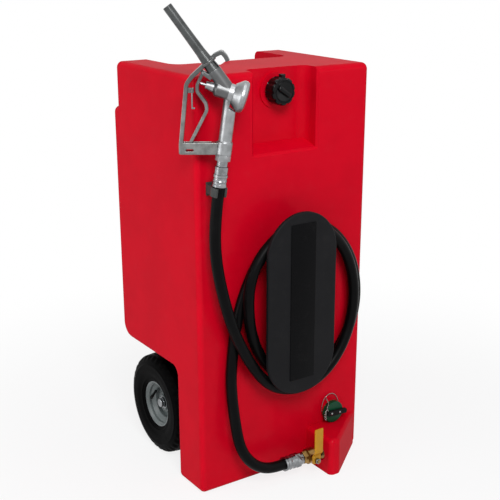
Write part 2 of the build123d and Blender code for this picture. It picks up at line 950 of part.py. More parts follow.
def hose_route():
    """The hose's points from the nozzle's ferrule to the valve's ferrule."""
    start = (nozzle_frame * Pos(*on_grip_axis(top_ferrule_low))).position
    below = (nozzle_frame * Pos(*on_grip_axis(top_ferrule_low - hose_start_run))).position
    end = (bottom_ferrule_left, valve_y, valve_height)
    return [Vector(p) for p in [start, below] + hose_lead_in + loop_points() + hose_lead_out + [end]]


def corner_radii(points):
    """The largest arc that each corner's two runs leave room for."""
    radii = []
    for before, corner, after in zip(points, points[1:], points[2:]):
        turn = math.radians((corner - before).get_angle(after - corner))
        run = min((corner - before).length, (after - corner).length)
        radii.append(hose_corner_share * run / math.tan(turn / 2))
    return radii


def least_gap(path, radius):
    """The least gap between stretches of the hose that aren't neighbours, on points along it."""
    count = int(path.length / gap_step)
    points = [path @ (index / count) for index in range(count + 1)]
    skip = int(math.pi * radius * 2 / gap_step) + 1
    nearest = min(
        (points[i] - points[j]).length
        for i in range(len(points))
        for j in range(i + skip, len(points))
    )
    return nearest - 2 * radius


def hose():
    """The hose from end to end."""
    points = hose_route()
    radii = corner_radii(points)
    path = FilletPolyline(*points, radius=radii)
    start = Plane(origin=path @ 0, z_dir=path % 0)
    section = start * (Circle(hose_radius) - Circle(hose_bore))
    tube = sweep(section, path=path)
    print("hose corner radii:", [round(radius) for radius in radii])
    print("hose length:", round(path.length))
    print("hose volume share:", round(tube.volume / (section.area * path.length), 4))
    print("hose least gap to itself:", round(least_gap(path, hose_radius), 2))
    return tube


# Hose ends


def ferrule_stations(length, radius, bore):
    """A ferrule's stations along its axis, with its crimped bands."""
    step = length / crimp_steps
    crimp = radius - crimp_depth
    stations = [(0, bore), (0, radius), (step, radius)]
    for band in range(crimp_bands):
        at = step * (crimp_first_share + crimp_spacing_share * band)
        stations += [(at, crimp), (at + step, crimp), (at + step * crimp_end_share, radius)]
    return stations + [(length, radius), (length, bore)]


def hose_top_ferrule():
    """The crimped ferrule under the nozzle."""
    length = top_ferrule_top - top_ferrule_low
    bore = swivel_spigot_radius + swivel_spigot_gap
    stations = ferrule_stations(length, top_ferrule_radius, bore)
    return nozzle_frame * turned(stations, on_grip_axis(top_ferrule_low), lean_direction)


def nozzle_swivel():
    """The swivel's turning half: a collar with a neck, and a spigot that reaches down into the ferrule."""
    collar = top_ferrule_top + side_gap
    stations = [
        (top_ferrule_low + hose_bore, ferrule_bore),
        (top_ferrule_low + hose_bore, swivel_spigot_radius),
        (collar, swivel_spigot_radius),
        (collar, swivel_radius),
        (swivel_top - swivel_edge, swivel_radius),
        (swivel_top, swivel_neck_radius),
        (swivel_neck_top, swivel_neck_radius),
        (swivel_neck_top, swivel_spigot_radius),
        (bushing_top, swivel_spigot_radius),
        (bushing_top, ferrule_bore),
    ]
    return nozzle_frame * turned(stations, (0, 0, 0), lean_direction)


def nozzle_bushing():
    """The hex bushing in the nozzle's foot."""
    start = on_grip_axis(swivel_neck_top)
    bar = hex_bar(start, lean_direction, bushing_flats, bushing_top - swivel_neck_top)
    bar = bar - rod(start, lean_direction, swivel_spigot_radius, bushing_top)
    return nozzle_frame * bar


def hose_bottom_ferrule():
    """The crimped ferrule at the valve."""
    stations = ferrule_stations(bottom_ferrule_length, bottom_ferrule_radius, ferrule_bore)
    return turned(stations, (bottom_ferrule_left, valve_y, valve_height), (1, 0, 0))


def hose_bottom_nut():
    """The union nut between the hose's ferrule and the valve."""
    start = bottom_ferrule_left + bottom_ferrule_length
    hex_length = bottom_nut_length * bottom_nut_hex_share
    foot = (start, valve_y, valve_height)
    collar_foot = (start + hex_length, valve_y, valve_height)
    nut = hex_bar(foot, (1, 0, 0), bottom_nut_flats, hex_length, bottom_nut_turn)
    nut = nut + rod(collar_foot, (1, 0, 0), bottom_nut_collar_radius, bottom_nut_length - hex_length)
    return nut - rod(foot, (1, 0, 0), ferrule_bore, bottom_nut_length)


# Ball valve


def valve_end():
    """The hexagonal end piece that closes the valve body."""
    start = (valve_body_left - valve_end_length, valve_y, valve_height)
    end = hex_bar(start, (1, 0, 0), valve_end_flats, valve_end_length)
    return end - rod(start, (1, 0, 0), valve_bore, valve_end_length)


def valve_body():
    """The brass body, bored for the ball, with the stem's bonnet towards the front."""
    start = (valve_body_left, valve_y, valve_height)
    chamber_length = stem_x - valve_body_left + chamber_reach
    stations = [
        (0, chamber_reach),
        (0, valve_body_radius),
        (valve_body_length - valve_shoulder, valve_body_radius),
        (valve_body_length, nipple_radius + valve_shoulder / 2),
        (valve_body_length, valve_bore),
        (chamber_length, valve_bore),
        (chamber_length, chamber_reach),
    ]
    body = turned(stations, start, (1, 0, 0))
    bonnet_foot = (stem_x, valve_y - chamber_reach, valve_height)
    bonnet_length = bonnet_reach - chamber_reach
    body = body + rod(bonnet_foot, (0, -1, 0), bonnet_radius, bonnet_length)
    body = body - rod(start, (1, 0, 0), chamber_reach, chamber_length)
    return body - rod((stem_x, valve_y, valve_height), (0, -1, 0), stem_radius + stem_gap, 2 * bonnet_reach)


def valve_ball():
    """The ball, closed at rest: its bore stands upright, across the pipe."""
    ball = Pos(stem_x, valve_y, valve_height) * Sphere(ball_radius)
    foot = (stem_x, valve_y, valve_height - 2 * ball_radius)
    ball = ball - rod(foot, (0, 0, 1), valve_bore, 4 * ball_radius)
    slot = between(
        (stem_x - tongue_thickness / 2, valve_y - 2 * ball_radius, valve_height - 2 * stem_radius),
        (stem_x + tongue_thickness / 2, valve_y - ball_radius + tongue_depth, valve_height + 2 * stem_radius),
    )
    return ball - slot


def valve_seats():
    """The two seat rings, one on each side of the ball."""
    clear = ball_radius + ball_gap
    lip = math.sqrt(clear**2 - seat_reach**2)
    foot = math.sqrt(clear**2 - valve_bore**2)
    rings = []
    for side in (-1, 1):
        stations = [
            (seat_reach, lip),
            (seat_reach, chamber_reach),
            (clear, chamber_reach),
            (clear, valve_bore),
            (foot, valve_bore),
        ]
        rings.append(turned(stations, (stem_x, valve_y, valve_height), (side, 0, 0)))
    return Compound(rings)


def valve_stem():
    """The stem, with a tongue in the ball's slot."""
    foot = ball_radius
    shank = rod((stem_x, valve_y - foot, valve_height), (0, -1, 0), stem_radius, stem_reach - foot)
    tongue = between(
        (stem_x - tongue_thickness / 2, valve_y - foot, valve_height - stem_radius),
        (stem_x + tongue_thickness / 2, valve_y - ball_radius + tongue_depth, valve_height + stem_radius),
    )
    tongue = tongue & rod((stem_x, valve_y, valve_height), (0, -1, 0), stem_radius, stem_reach)
    return shank + tongue


def lever_seat():
    """Where the lever's foot lies on the bonnet, as y."""
    return valve_y - bonnet_reach - lever_hub_gap


def valve_lever():
    """The flat cranked lever. It points up across the pipe, which is closed."""
    seat = lever_seat()
    step_start = valve_height + lever_step_from_stem
    points = [
        (seat - lever_plate / 2, valve_height - lever_hub_radius),
        (seat - lever_plate / 2, step_start),
        (seat - lever_plate / 2 - lever_step_rise, step_start + lever_step_run),
        (seat - lever_plate / 2 - lever_step_rise, valve_height + lever_length),
    ]
    path = FilletPolyline(*[(stem_x, y, z) for y, z in points], radius=lever_bend_radius)
    start = Plane(origin=path @ 0, x_dir=(1, 0, 0), z_dir=path % 0)
    blade = sweep(start * Rectangle(lever_width, lever_plate), path=path)
    tips = blade.edges().filter_by(Axis.Y)
    blade = fillet(tips, lever_corner_round)
    hole = rod((stem_x, seat - 2 * lever_plate, valve_height), (0, 1, 0), stem_radius, 4 * lever_plate)
    return blade - hole


def valve_lever_nut():
    """The nut that holds the lever on the stem."""
    start = lever_seat() - lever_plate
    nut = hex_bar((stem_x, start, valve_height), (0, -1, 0), lever_nut_flats, lever_nut_height)
    return nut - rod((stem_x, start, valve_height), (0, -1, 0), stem_radius, lever_nut_height)


def valve_nipple():
    """The pipe from the valve into the sump block."""
    length = block_port_floor - valve_right
    return pipe((valve_right, valve_y, valve_height), (1, 0, 0), nipple_radius, nipple_bore, length)


def sump_fitting():
    """The fitting screwed into the sump block, with its flange in the round port."""
    stations = [
        (0, nipple_bore),
        (0, fitting_radius),
        (fitting_flange, fitting_radius),
        (fitting_flange, fitting_thread_radius),
        (fitting_length, fitting_thread_radius),
        (fitting_length, nipple_bore),
    ]
    flange_front = block_port_floor - fitting_flange
    fitting = turned(stations, (flange_front, valve_y, valve_height), (1, 0, 0))
    return fitting - rod((flange_front, valve_y, valve_height), (1, 0, 0), nipple_radius, fitting_flange)


# Nozzle


def grip_form():
    """The grip's plain tube, up to the barrel."""
    return rod(on_grip_axis(bushing_top), lean_direction, grip_tube_radius, grip_tube_top - bushing_top)


def throat_form():
    """The plain throat between the barrel and the spout's seam."""
    return rod(seam_point - spout_direction * throat_length, spout_direction, throat_radius, throat_length)


def ears_form():
    """Two ears on the throat that hold the trigger's pin."""
    pivot = Vector(trigger_pivot[0], 0, trigger_pivot[1])
    root = Vector(ear_root[0], 0, ear_root[1])
    inner = trigger_width / 2 + ear_gap
    outer = inner + ear_thickness
    start = Plane(origin=pivot, x_dir=(0, 1, 0), z_dir=root - pivot)
    block = extrude(start * Rectangle(2 * outer, 2 * ear_radius), amount=(root - pivot).length)
    block = block + rod(pivot - Vector(0, outer, 0), (0, 1, 0), ear_radius, 2 * outer)
    reach = trigger_thickness + 2 * ear_radius
    block = block - between(pivot - Vector(reach, inner, reach * 2), pivot + Vector(reach, inner, reach))
    return block - rod(pivot - Vector(0, outer, 0), (0, 1, 0), trigger_pin_radius, 2 * outer)


def nozzle_body():
    """The cast body: grip, foot, barrel and the throat that takes the spout."""
    foot = rod(on_grip_axis(bushing_top), lean_direction, grip_base_radius, grip_base_top - bushing_top)
    barrel = turned(
        [
            (nut_to, 0),
            (nut_to, nut_big_radius),
            (barrel_from, barrel_radius),
            (ring_to, barrel_radius),
            (ring_to, 0),
        ],
        main_start,
        stem_direction,
    )
    spout_room = rod(seam_point, spout_direction, spout_collar_radius, spout_collar_length)
    body = foot + grip_form() + barrel + throat_form() + (ears_form() - spout_room)
    body = body - rod(on_main_axis(nut_from), stem_direction, nut_big_radius, nut_to - nut_from)
    body = body - rod(on_main_axis(ring_to), stem_direction, rear_cap_radius, rear_cap_length)
    body = body - rod(on_main_axis(chamber_from), stem_direction, chamber_radius, rear_cap_length)
    body = body - rod(on_main_axis(barrel_from), stem_direction, barrel_bore, chamber_from)
    body = body - rod(on_grip_axis(bushing_top), lean_direction, grip_bore, grip_bore_length)
    body = body - rod(main_start, stem_direction, nozzle_stem_radius + nozzle_stem_gap, chamber_from)
    throat_foot = seam_point - spout_direction * throat_length
    body = body - rod(throat_foot, spout_direction, spout_bore, throat_length)
    spigot_foot = seam_point - spout_direction * spout_spigot
    body = body - rod(spigot_foot, spout_direction, spout_spigot_radius, spout_spigot)
    return nozzle_frame * body


def spout():
    """The spout: a straight tube that flares to a collar at the body."""
    total = (tip_point - seam_point).length
    stations = [
        (-spout_spigot, spout_bore),
        (-spout_spigot, spout_spigot_radius),
        (0, spout_spigot_radius),
        (0, spout_collar_radius),
        (spout_collar_length, spout_neck_radius),
        (spout_taper_end, spout_foot_radius),
        (total - spout_straight, spout_radius),
        (total - spout_tip_edge, spout_radius),
        (total, spout_radius - spout_tip_edge),
        (total, spout_bore),
    ]
    return nozzle_frame * turned(stations, seam_point, spout_direction)


def packing_nut():
    """The cone-shaped nut that the stem comes out of."""
    bore = nozzle_stem_radius + nozzle_stem_gap
    stations = [
        (nut_from, bore),
        (nut_from, nut_small_radius),
        (nut_from + nut_cylinder, nut_small_radius),
        (nut_to, nut_big_radius),
        (nut_to, bore),
    ]
    return nozzle_frame * turned(stations, main_start, stem_direction)


def nozzle_stem():
    """The stem that the trigger pushes."""
    start = main_start - stem_direction * nozzle_stem_out
    return nozzle_frame * rod(start, stem_direction, nozzle_stem_radius, poppet_at + nozzle_stem_out)


def nozzle_poppet():
    """The poppet on the stem's end."""
    stations = [
        (0, 0),
        (0, poppet_radius - poppet_edge),
        (poppet_thickness, poppet_radius),
        (poppet_thickness, 0),
    ]
    return nozzle_frame * turned(stations, on_main_axis(poppet_at), stem_direction)


def poppet_spring():
    """The spring between the poppet and the rear cap."""
    first = poppet_at + poppet_thickness + spring_end_gap + spring_wire
    last = ring_to + rear_cap_length - rear_cap_skin - spring_end_gap - spring_wire
    path = Helix(pitch=(last - first) / spring_turns, height=last - first, radius=spring_radius)
    start = Plane(origin=path @ 0, z_dir=path % 0)
    coil = sweep(start * Circle(spring_wire), path=path, is_frenet=True)
    return nozzle_frame * (Plane(origin=on_main_axis(first), z_dir=stem_direction) * coil)


def nozzle_ring():
    """The band between the body and the rear cap."""
    band = pipe(on_main_axis(ring_from), stem_direction, ring_radius, barrel_radius, ring_to - ring_from)
    return nozzle_frame * (band - grip_form() - throat_form())


def nozzle_rear_cap():
    """The flared cap on the back of the valve chamber, with a flange and a shallow dome."""
    depth = rear_cap_length - rear_cap_skin
    stations = [
        (0, chamber_radius),
        (0, rear_cap_front_radius),
        (rear_cap_shoulder, rear_cap_shoulder_radius),
        (rear_flange_from, rear_cap_radius),
        (rear_flange_to, rear_cap_radius),
        (rear_cap_dome_edge, rear_cap_shoulder_radius),
        (rear_cap_length, rear_cap_dome_radius),
        (rear_cap_length, 0),
        (depth, 0),
        (depth, chamber_radius),
    ]
    return nozzle_frame * turned(stations, on_main_axis(ring_to), stem_direction)


def trigger_guard():
    """The guard: a foot bar with a window, a strap up the front and a hook over the spout's neck."""
    bar_top = guard_bar_low + guard_bar_thickness
    half = guard_width / 2
    bar = between((guard_bar_left, -half, guard_bar_low), (guard_bar_right, half, bar_top))
    left_edges = bar.edges().filter_by(Axis.Y).filter_by(lambda edge: edge.center().X < guard_bar_left / 2)
    bar = fillet(left_edges, guard_bar_round)
    slot_low = guard_window_low + guard_window_height
    slot_half = trigger_width / 2 + guard_slot_gap
    slot = between(
        (guard_slot_left, -slot_half, slot_low),
        (guard_slot_right, slot_half, bar_top + guard_thickness),
    )
    window = between(
        (guard_window_left, -guard_width, guard_window_low),
        (guard_window_left + guard_window_width, guard_width, guard_window_low + guard_window_height),
    )
    bar = bar - slot - window
    strap_low = (guard_bar_left + guard_thickness / 2, bar_top - guard_strap_sink)
    points = [strap_low] + guard_bends + [guard_hook_end]
    radii = [guard_corner_round * 2, guard_corner_round, guard_corner_round, hook_round, hook_round]
    rail = strap(points, radii, guard_width, guard_thickness)
    ring_start = seam_point + spout_direction * guard_ring_at
    ring = rod(ring_start, spout_direction, spout_collar_radius + guard_ring_wall, guard_ring_thickness)
    cradle = rod(on_grip_axis(0), lean_direction, grip_base_radius, grip_tube_top)
    neck_hole = turned(
        [
            (-spout_collar_length, 0),
            (-spout_collar_length, spout_collar_radius),
            (0, spout_collar_radius),
            (spout_collar_length, spout_neck_radius),
            (spout_taper_end, spout_foot_radius),
            (2 * spout_taper_end, spout_foot_radius),
            (2 * spout_taper_end, 0),
        ],
        seam_point,
        spout_direction,
    )
    bar = bar - cradle
    guard = bar + rail + ring + latch_lugs()
    return nozzle_frame * (guard - neck_hole)


def latch_lugs():
    """Two ears on the guard that hold the latch's pin."""
    inner = latch_width / 2 + latch_gap
    outer = inner + latch_lug
    low = latch_pivot[1] - latch_lug_half
    high = latch_pivot[1] + latch_lug_half
    right = latch_pivot[0] + latch_lug_reach
    lugs = between((latch_lug_left, -outer, low), (right, outer, high))
    lugs = lugs - between((latch_lug_left, -inner, low), (right, inner, high))
    pin_start = (latch_pivot[0], -guard_width, latch_pivot[1])
    return lugs - rod(pin_start, (0, 1, 0), latch_pin_radius, 2 * guard_width)


def trigger():
    """The trigger: a bent strap that hangs from its pin and bears on the stem just below it."""
    bends = [trigger_round] * len(trigger_bends)
    points = [trigger_pivot] + trigger_bends + [trigger_foot]
    blade = strap(points, bends, trigger_grip_width, trigger_thickness)
    half = trigger_width / 2
    for low, high in ((guard_bar_low, trigger_wide_from), (trigger_wide_to, grip_tube_top * 2)):
        for side in (-1, 1):
            near, far = sorted((side * half, side * guard_width))
            blade = blade - between((guard_bar_left, near, low), (-guard_bar_left, far, high))
    pin_start = Vector(trigger_pivot[0], -half, trigger_pivot[1])
    blade = blade + rod(pin_start, (0, 1, 0), trigger_eye_radius, trigger_width)
    return nozzle_frame * (blade - rod(pin_start, (0, 1, 0), trigger_pin_radius + pin_gap, trigger_width))


def trigger_pin():
    """The trigger's pin."""
    reach = trigger_width / 2 + ear_gap + ear_thickness
    start = (trigger_pivot[0], -reach, trigger_pivot[1])
    return nozzle_frame * rod(start, (0, 1, 0), trigger_pin_radius, 2 * reach)


def latch():
    """The hold-open latch: a small arm that hangs from its pin inside the guard."""
    half = latch_width / 2
    foot = latch_pivot[1] - latch_length
    arm = between(
        (latch_pivot[0] - latch_thickness / 2, -half, foot),
        (latch_pivot[0] + latch_thickness / 2, half, latch_pivot[1]),
    )
    eye = rod((latch_pivot[0], -half, latch_pivot[1]), (0, 1, 0), latch_eye_radius, latch_width)
    hook = between(
        (latch_pivot[0], -half, foot),
        (latch_pivot[0] + latch_thickness * 2, half, foot + latch_thickness),
    )
    pin_start = (latch_pivot[0], -guard_width, latch_pivot[1])
    hole = rod(pin_start, (0, 1, 0), latch_pin_radius + pin_gap, 2 * guard_width)
    return nozzle_frame * (arm + eye + hook - hole)


def latch_pin():
    """The latch's pin."""
    reach = latch_width / 2 + latch_gap + latch_lug
    start = (latch_pivot[0], -reach, latch_pivot[1])
    return nozzle_frame * rod(start, (0, 1, 0), latch_pin_radius, 2 * reach)


# Clip


def clip_centre():
    """The middle of the clip's grip on the hose, in the tank's frame."""
    return (nozzle_frame * Pos(*on_grip_axis(clip_at))).position


def clip_screw_places():
    """The clip's two screws, as (x, z), one above the other."""
    centre = clip_centre()
    x = centre.X + clip_screw_shift
    return [(x, centre.Z + side * clip_screw_spacing / 2) for side in (-1, 1)]


def hose_clip():
    """The spring clip: a foot on the tank's face, an arm and a jaw that is open to the front."""
    centre = clip_centre()
    inner = hose_radius + clip_gap
    outer = inner + clip_wall
    half = clip_height / 2
    foot = between(
        (centre.X - clip_foot_left, -clip_foot_thickness, centre.Z - clip_foot_height / 2),
        (centre.X + clip_foot_right, 0, centre.Z + clip_foot_height / 2),
    )
    arm = between(
        (centre.X - clip_arm_width / 2, centre.Y, centre.Z - half),
        (centre.X + clip_arm_width / 2, -clip_foot_thickness, centre.Z + half),
    )
    lean = (nozzle_frame * Pos(*lean_direction)).position - nozzle_frame.position
    jaw = rod(centre - lean * half, lean, outer, clip_height)
    clip = foot + arm + jaw
    clip = clip - rod(centre - lean * clip_height, lean, inner, 2 * clip_height)
    reach = 2 * outer
    wide = reach * math.tan(math.radians(clip_mouth / 2))
    wedge = make_face(Polyline((0, 0), (wide, -reach), (-wide, -reach), close=True))
    clip = clip - Pos(centre) * extrude(wedge, amount=clip_height, both=True)
    for side in (-1, 1):
        angle = math.radians(clip_mouth / 2 + clip_lip_turn)
        middle = (inner + outer) / 2
        lip = Vector(side * middle * math.sin(angle), -middle * math.cos(angle), 0)
        clip = clip + rod(centre + lip - lean * half, lean, clip_flare_radius, clip_height)
    clip = clip - rod(centre - lean * clip_height, lean, inner, 2 * clip_height)
    for x, z in clip_screw_places():
        clip = clip - rod((x, 0, z), (0, -1, 0), clip_screw_radius, clip_foot_thickness)
    return clip


def clip_screws():
    """The clip's two screws."""
    screws = []
    for x, z in clip_screw_places():
        head = rod((x, -clip_foot_thickness, z), (0, -1, 0), clip_screw_head_radius, clip_screw_head)
        shank = rod((x, -clip_foot_thickness, z), (0, 1, 0), clip_screw_radius, clip_screw_length)
        screws.append(head + shank)
    return Compound(screws)


# Wheels and axle. A side is -1 for the left wheel and 1 for the right one.


def wheel_frame(side):
    """The wheel's own frame: its z axis points outwards along the axle."""
    origin = (side * wheel_offset, axle_back, tyre_radius)
    return Plane(origin=origin, x_dir=(0, 1, 0), z_dir=(side, 0, 0))


def ring_of(section):
    """A ring from a section drawn as (radius, distance along the axle)."""
    return revolve(Plane.XZ * section, Axis.Z, 360)


def tyre(side):
    """The tyre, open towards the rim, with grooves in its tread."""
    middle = tyre_radius - tyre_section / 2
    skin = Pos(middle, 0) * RectangleRounded(tyre_section, tyre_width, tyre_shoulder)
    hollow = Pos(middle, 0) * RectangleRounded(
        tyre_section - 2 * tyre_wall, tyre_width - 2 * tyre_wall, tyre_shoulder - tyre_wall
    )
    mouth = Pos(tyre_radius - tyre_section, 0) * Rectangle(3 * tyre_wall, tyre_bead_gap)
    ring = ring_of(skin - hollow - mouth)
    for at in (-tread_groove_spacing / 2, tread_groove_spacing / 2):
        groove = Pos(tyre_radius, at) * Rectangle(2 * tread_groove_depth, tread_groove_width)
        ring = ring - ring_of(groove)
    return wheel_frame(side) * ring


def rim(side):
    """The pressed rim: flanges, bead seats, a well, a dished disc and the hub tube."""
    half_flange, half_well = rim_flange_width / 2, rim_well_width / 2
    outline = [
        (rim_flange_radius, half_flange),
        (rim_seat_radius, half_flange - rim_flange_slope),
        (rim_seat_radius, half_well + rim_well_slope),
        (rim_well_radius, half_well - rim_well_slope),
        (rim_well_radius, -half_well + rim_well_slope),
        (rim_seat_radius, -half_well - rim_well_slope),
        (rim_seat_radius, -half_flange + rim_flange_slope),
        (rim_flange_radius, -half_flange),
    ]
    inside = [(radius - rim_metal, along) for radius, along in reversed(outline)]
    band = make_face(Polyline(*outline, *inside, close=True))
    hub_tube_middle = (hub_tube_radius + hub_tube_bore) / 2
    disc_outer = [
        (rim_well_radius - rim_metal / 2, rim_disc_at),
        (rim_dish_radius + rim_dish_slope, rim_disc_at),
        (rim_dish_radius - rim_dish_slope, rim_disc_at + rim_dish_depth),
        (hub_tube_middle, rim_disc_at + rim_dish_depth),
    ]
    disc_inner = [(radius, along - rim_metal) for radius, along in reversed(disc_outer)]
    disc = make_face(Polyline(*disc_outer, *disc_inner, close=True))
    hub = Pos(hub_tube_middle, (hub_outer - hub_inner) / 2) * Rectangle(
        hub_tube_radius - hub_tube_bore, hub_outer + hub_inner
    )
    ring = ring_of(band) + ring_of(disc) + ring_of(hub)
    start, direction = tyre_valve_line()
    return wheel_frame(side) * (ring - rod(start, direction, tyre_valve_radius, tyre_valve_length))


def bearings(side):
    """The hub's two bearings."""
    ring = []
    bore = axle_radius + bearing_gap
    for at in (hub_outer - bearing_width - bearing_inset, -hub_inner + bearing_inset):
        stations = [
            (0, bore),
            (0, bore + bearing_land),
            (bearing_groove_depth, bore + bearing_land),
            (bearing_groove_depth, hub_tube_bore - bearing_land),
            (0, hub_tube_bore - bearing_land),
            (0, hub_tube_bore),
            (bearing_width, hub_tube_bore),
            (bearing_width, bore),
        ]
        ring.append(wheel_frame(side) * turned([(at + along, radius) for along, radius in stations]))
    return Compound(ring)


def tyre_valve_line():
    """Where the air valve starts, outside the rim's well, and which way it points."""
    angle = math.radians(tyre_valve_angle)
    tilt = math.radians(tyre_valve_tilt)
    outward = Vector(math.cos(angle), math.sin(angle), 0)
    direction = Vector(0, 0, 1) * math.sin(tilt) - outward * math.cos(tilt)
    return outward * (rim_well_radius + tyre_valve_foot) + Vector(0, 0, tyre_valve_at), direction


def tyre_valve(side):
    """The tyre's air valve, through the rim's well, with its cap."""
    start, direction = tyre_valve_line()
    stations = [
        (0, 0),
        (0, tyre_valve_radius),
        (tyre_valve_length - tyre_valve_cap_length, tyre_valve_radius),
        (tyre_valve_length - tyre_valve_cap_length, tyre_valve_cap_radius),
        (tyre_valve_length, tyre_valve_cap_radius),
        (tyre_valve_length, 0),
    ]
    return wheel_frame(side) * turned(stations, start, direction)


def axle():
    """The axle, right through the keel and both hubs."""
    half = wheel_offset + hub_outer + axle_end_past_hub
    return rod((-half, axle_back, tyre_radius), (1, 0, 0), axle_radius, 2 * half)


def axle_spacers():
    """The tubes between the keel and the hubs."""
    length = wheel_offset - hub_inner - side_gap - keel_width / 2
    rings = []
    for side in (-1, 1):
        start = (side * keel_width / 2, axle_back, tyre_radius)
        rings.append(pipe(start, (side, 0, 0), spacer_radius, axle_radius, length))
    return Compound(rings)


def axle_washers():
    """The washers outside the hubs."""
    rings = []
    for side in (-1, 1):
        start = (side * (wheel_offset + hub_outer + side_gap), axle_back, tyre_radius)
        rings.append(pipe(start, (side, 0, 0), washer_radius, axle_radius, washer_thickness))
    return Compound(rings)


def axle_caps():
    """The push-on caps on the axle's ends."""
    caps = []
    for side in (-1, 1):
        start = (side * (wheel_offset + hub_outer + side_gap + washer_thickness), axle_back, tyre_radius)
        cap = rod(start, (side, 0, 0), axle_cap_radius, axle_cap_height)
        rims = cap.edges().filter_by(GeomType.CIRCLE).sort_by(Axis.X)
        cap = fillet(rims[0] if side < 0 else rims[-1], axle_cap_round)
        end = axle_end_past_hub - side_gap - washer_thickness
        caps.append(cap - rod(start, (side, 0, 0), axle_radius, end))
    return Compound(caps)


def tether_chain():
    """The ball chain: off the wire loop, over the cap's edge and down its face to the bar."""
    level = sump_cap_front() + bead_radius + tether_chain_gap
    path = Polyline(
        (-tether_chain_shift, tether_rise + tether_half_height - tether_chain_drop, tether_level()),
        (-tether_chain_shift, sump_cap_radius + bead_radius * 2, level),
        (-tether_chain_shift - bead_pitch, sump_bar_height / 2 + bead_radius * 2, level),
    )
    places = [path @ (index / (bead_count - 1)) for index in range(bead_count)]
    chain = Pos(places[-1]) * Sphere(bead_radius)
    for first, second in zip(places, places[1:]):
        link = second - first
        chain = chain + Pos(first) * Sphere(bead_radius) + rod(first, link, bead_wire_radius, link.length)
    return sump_cap_frame() * chain


pieces = {
    "tank_shell": tank_shell,
    "grip_bar": grip_bar,
    "filler_neck": filler_neck,
    "cap_seal": cap_seal,
    "filler_cap": filler_cap,
    "sump_cap": sump_cap,
    "sump_cap_seal": sump_cap_seal,
    "sump_cap_bar": sump_cap_bar,
    "sump_cap_screws": sump_cap_screws,
    "tether_ring": tether_ring,
    "tether_chain": tether_chain,
    "hanger_hub": hanger_hub,
    "hanger_plate": hanger_plate,
    "hanger_strip": hanger_strip,
    "hanger_bolts": hanger_bolts,
    "hanger_inserts": hanger_inserts,
    "hose": hose,
    "hose_top_ferrule": hose_top_ferrule,
    "nozzle_swivel": nozzle_swivel,
    "nozzle_bushing": nozzle_bushing,
    "hose_bottom_ferrule": hose_bottom_ferrule,
    "hose_bottom_nut": hose_bottom_nut,
    "valve_end": valve_end,
    "valve_body": valve_body,
    "valve_ball": valve_ball,
    "valve_seat": valve_seats,
    "valve_stem": valve_stem,
    "valve_lever": valve_lever,
    "valve_lever_nut": valve_lever_nut,
    "valve_nipple": valve_nipple,
    "sump_fitting": sump_fitting,
    "nozzle_body": nozzle_body,
    "spout": spout,
    "packing_nut": packing_nut,
    "nozzle_stem": nozzle_stem,
    "nozzle_poppet": nozzle_poppet,
    "poppet_spring": poppet_spring,
    "nozzle_ring": nozzle_ring,
    "nozzle_rear_cap": nozzle_rear_cap,
    "trigger_guard": trigger_guard,
    "trigger": trigger,
    "trigger_pin": trigger_pin,
    "latch": latch,
    "latch_pin": latch_pin,
    "hose_clip": hose_clip,
    "clip_screws": clip_screws,
    "axle": axle,
    "axle_spacers": axle_spacers,
    "axle_washers": axle_washers,
    "axle_caps": axle_caps,
}
for name, side in (("left", -1), ("right", 1)):
    pieces[name + "_tyre"] = lambda side=side: tyre(side)
    pieces[name + "_rim"] = lambda side=side: rim(side)
    pieces[name + "_bearings"] = lambda side=side: bearings(side)
    pieces[name + "_tyre_valve"] = lambda side=side: tyre_valve(side)

os.makedirs("parts", exist_ok=True)
to_foot = Pos(0, -foot_depth / 2, 0)
for name, make in pieces.items():
    export_step(to_foot * make(), "parts/" + name + ".step")
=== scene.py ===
"""Looks for the fuel caddy: a finish for every CAD node, the hose's line, and pieces modelled here.

Everything is in metres, in the CAD's frame: x to the right across the front, y to the back, z up.
"""

import json
import math

import bpy
from mathutils import Matrix, Vector

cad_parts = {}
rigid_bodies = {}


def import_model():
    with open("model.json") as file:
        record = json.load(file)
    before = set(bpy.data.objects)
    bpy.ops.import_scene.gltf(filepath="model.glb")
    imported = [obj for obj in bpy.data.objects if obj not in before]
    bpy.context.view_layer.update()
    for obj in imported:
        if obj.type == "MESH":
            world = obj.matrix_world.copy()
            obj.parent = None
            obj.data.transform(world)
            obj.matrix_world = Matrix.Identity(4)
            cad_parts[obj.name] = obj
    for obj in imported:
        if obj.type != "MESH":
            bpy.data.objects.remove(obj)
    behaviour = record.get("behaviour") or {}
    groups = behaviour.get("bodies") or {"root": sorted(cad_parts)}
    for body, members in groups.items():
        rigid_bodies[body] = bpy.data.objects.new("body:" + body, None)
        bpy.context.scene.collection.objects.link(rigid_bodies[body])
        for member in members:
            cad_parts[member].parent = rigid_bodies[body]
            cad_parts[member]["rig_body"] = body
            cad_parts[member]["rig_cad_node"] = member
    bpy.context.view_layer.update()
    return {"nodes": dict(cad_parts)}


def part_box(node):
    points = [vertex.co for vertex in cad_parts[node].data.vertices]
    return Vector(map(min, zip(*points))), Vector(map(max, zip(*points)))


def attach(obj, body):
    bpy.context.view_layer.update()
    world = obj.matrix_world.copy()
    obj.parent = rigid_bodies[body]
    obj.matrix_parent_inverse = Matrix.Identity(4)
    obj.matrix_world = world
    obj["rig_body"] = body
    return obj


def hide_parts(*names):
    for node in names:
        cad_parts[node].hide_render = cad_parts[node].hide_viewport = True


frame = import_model()
nodes = frame["nodes"]
bpy.ops.object.select_all(action="DESELECT")

mm = 0.001
half_foot = 0.058  # how far the tank's front face stands in front of the origin
full_turn = 2 * math.pi


# Camera. Angles are in degrees.

camera_place = (-1.37634, -1.95227, 1.30346)
camera_down = 17.01
camera_roll = 0.04
camera_turn = -33.95
focal_length = 72.98
sensor_width = 36.0


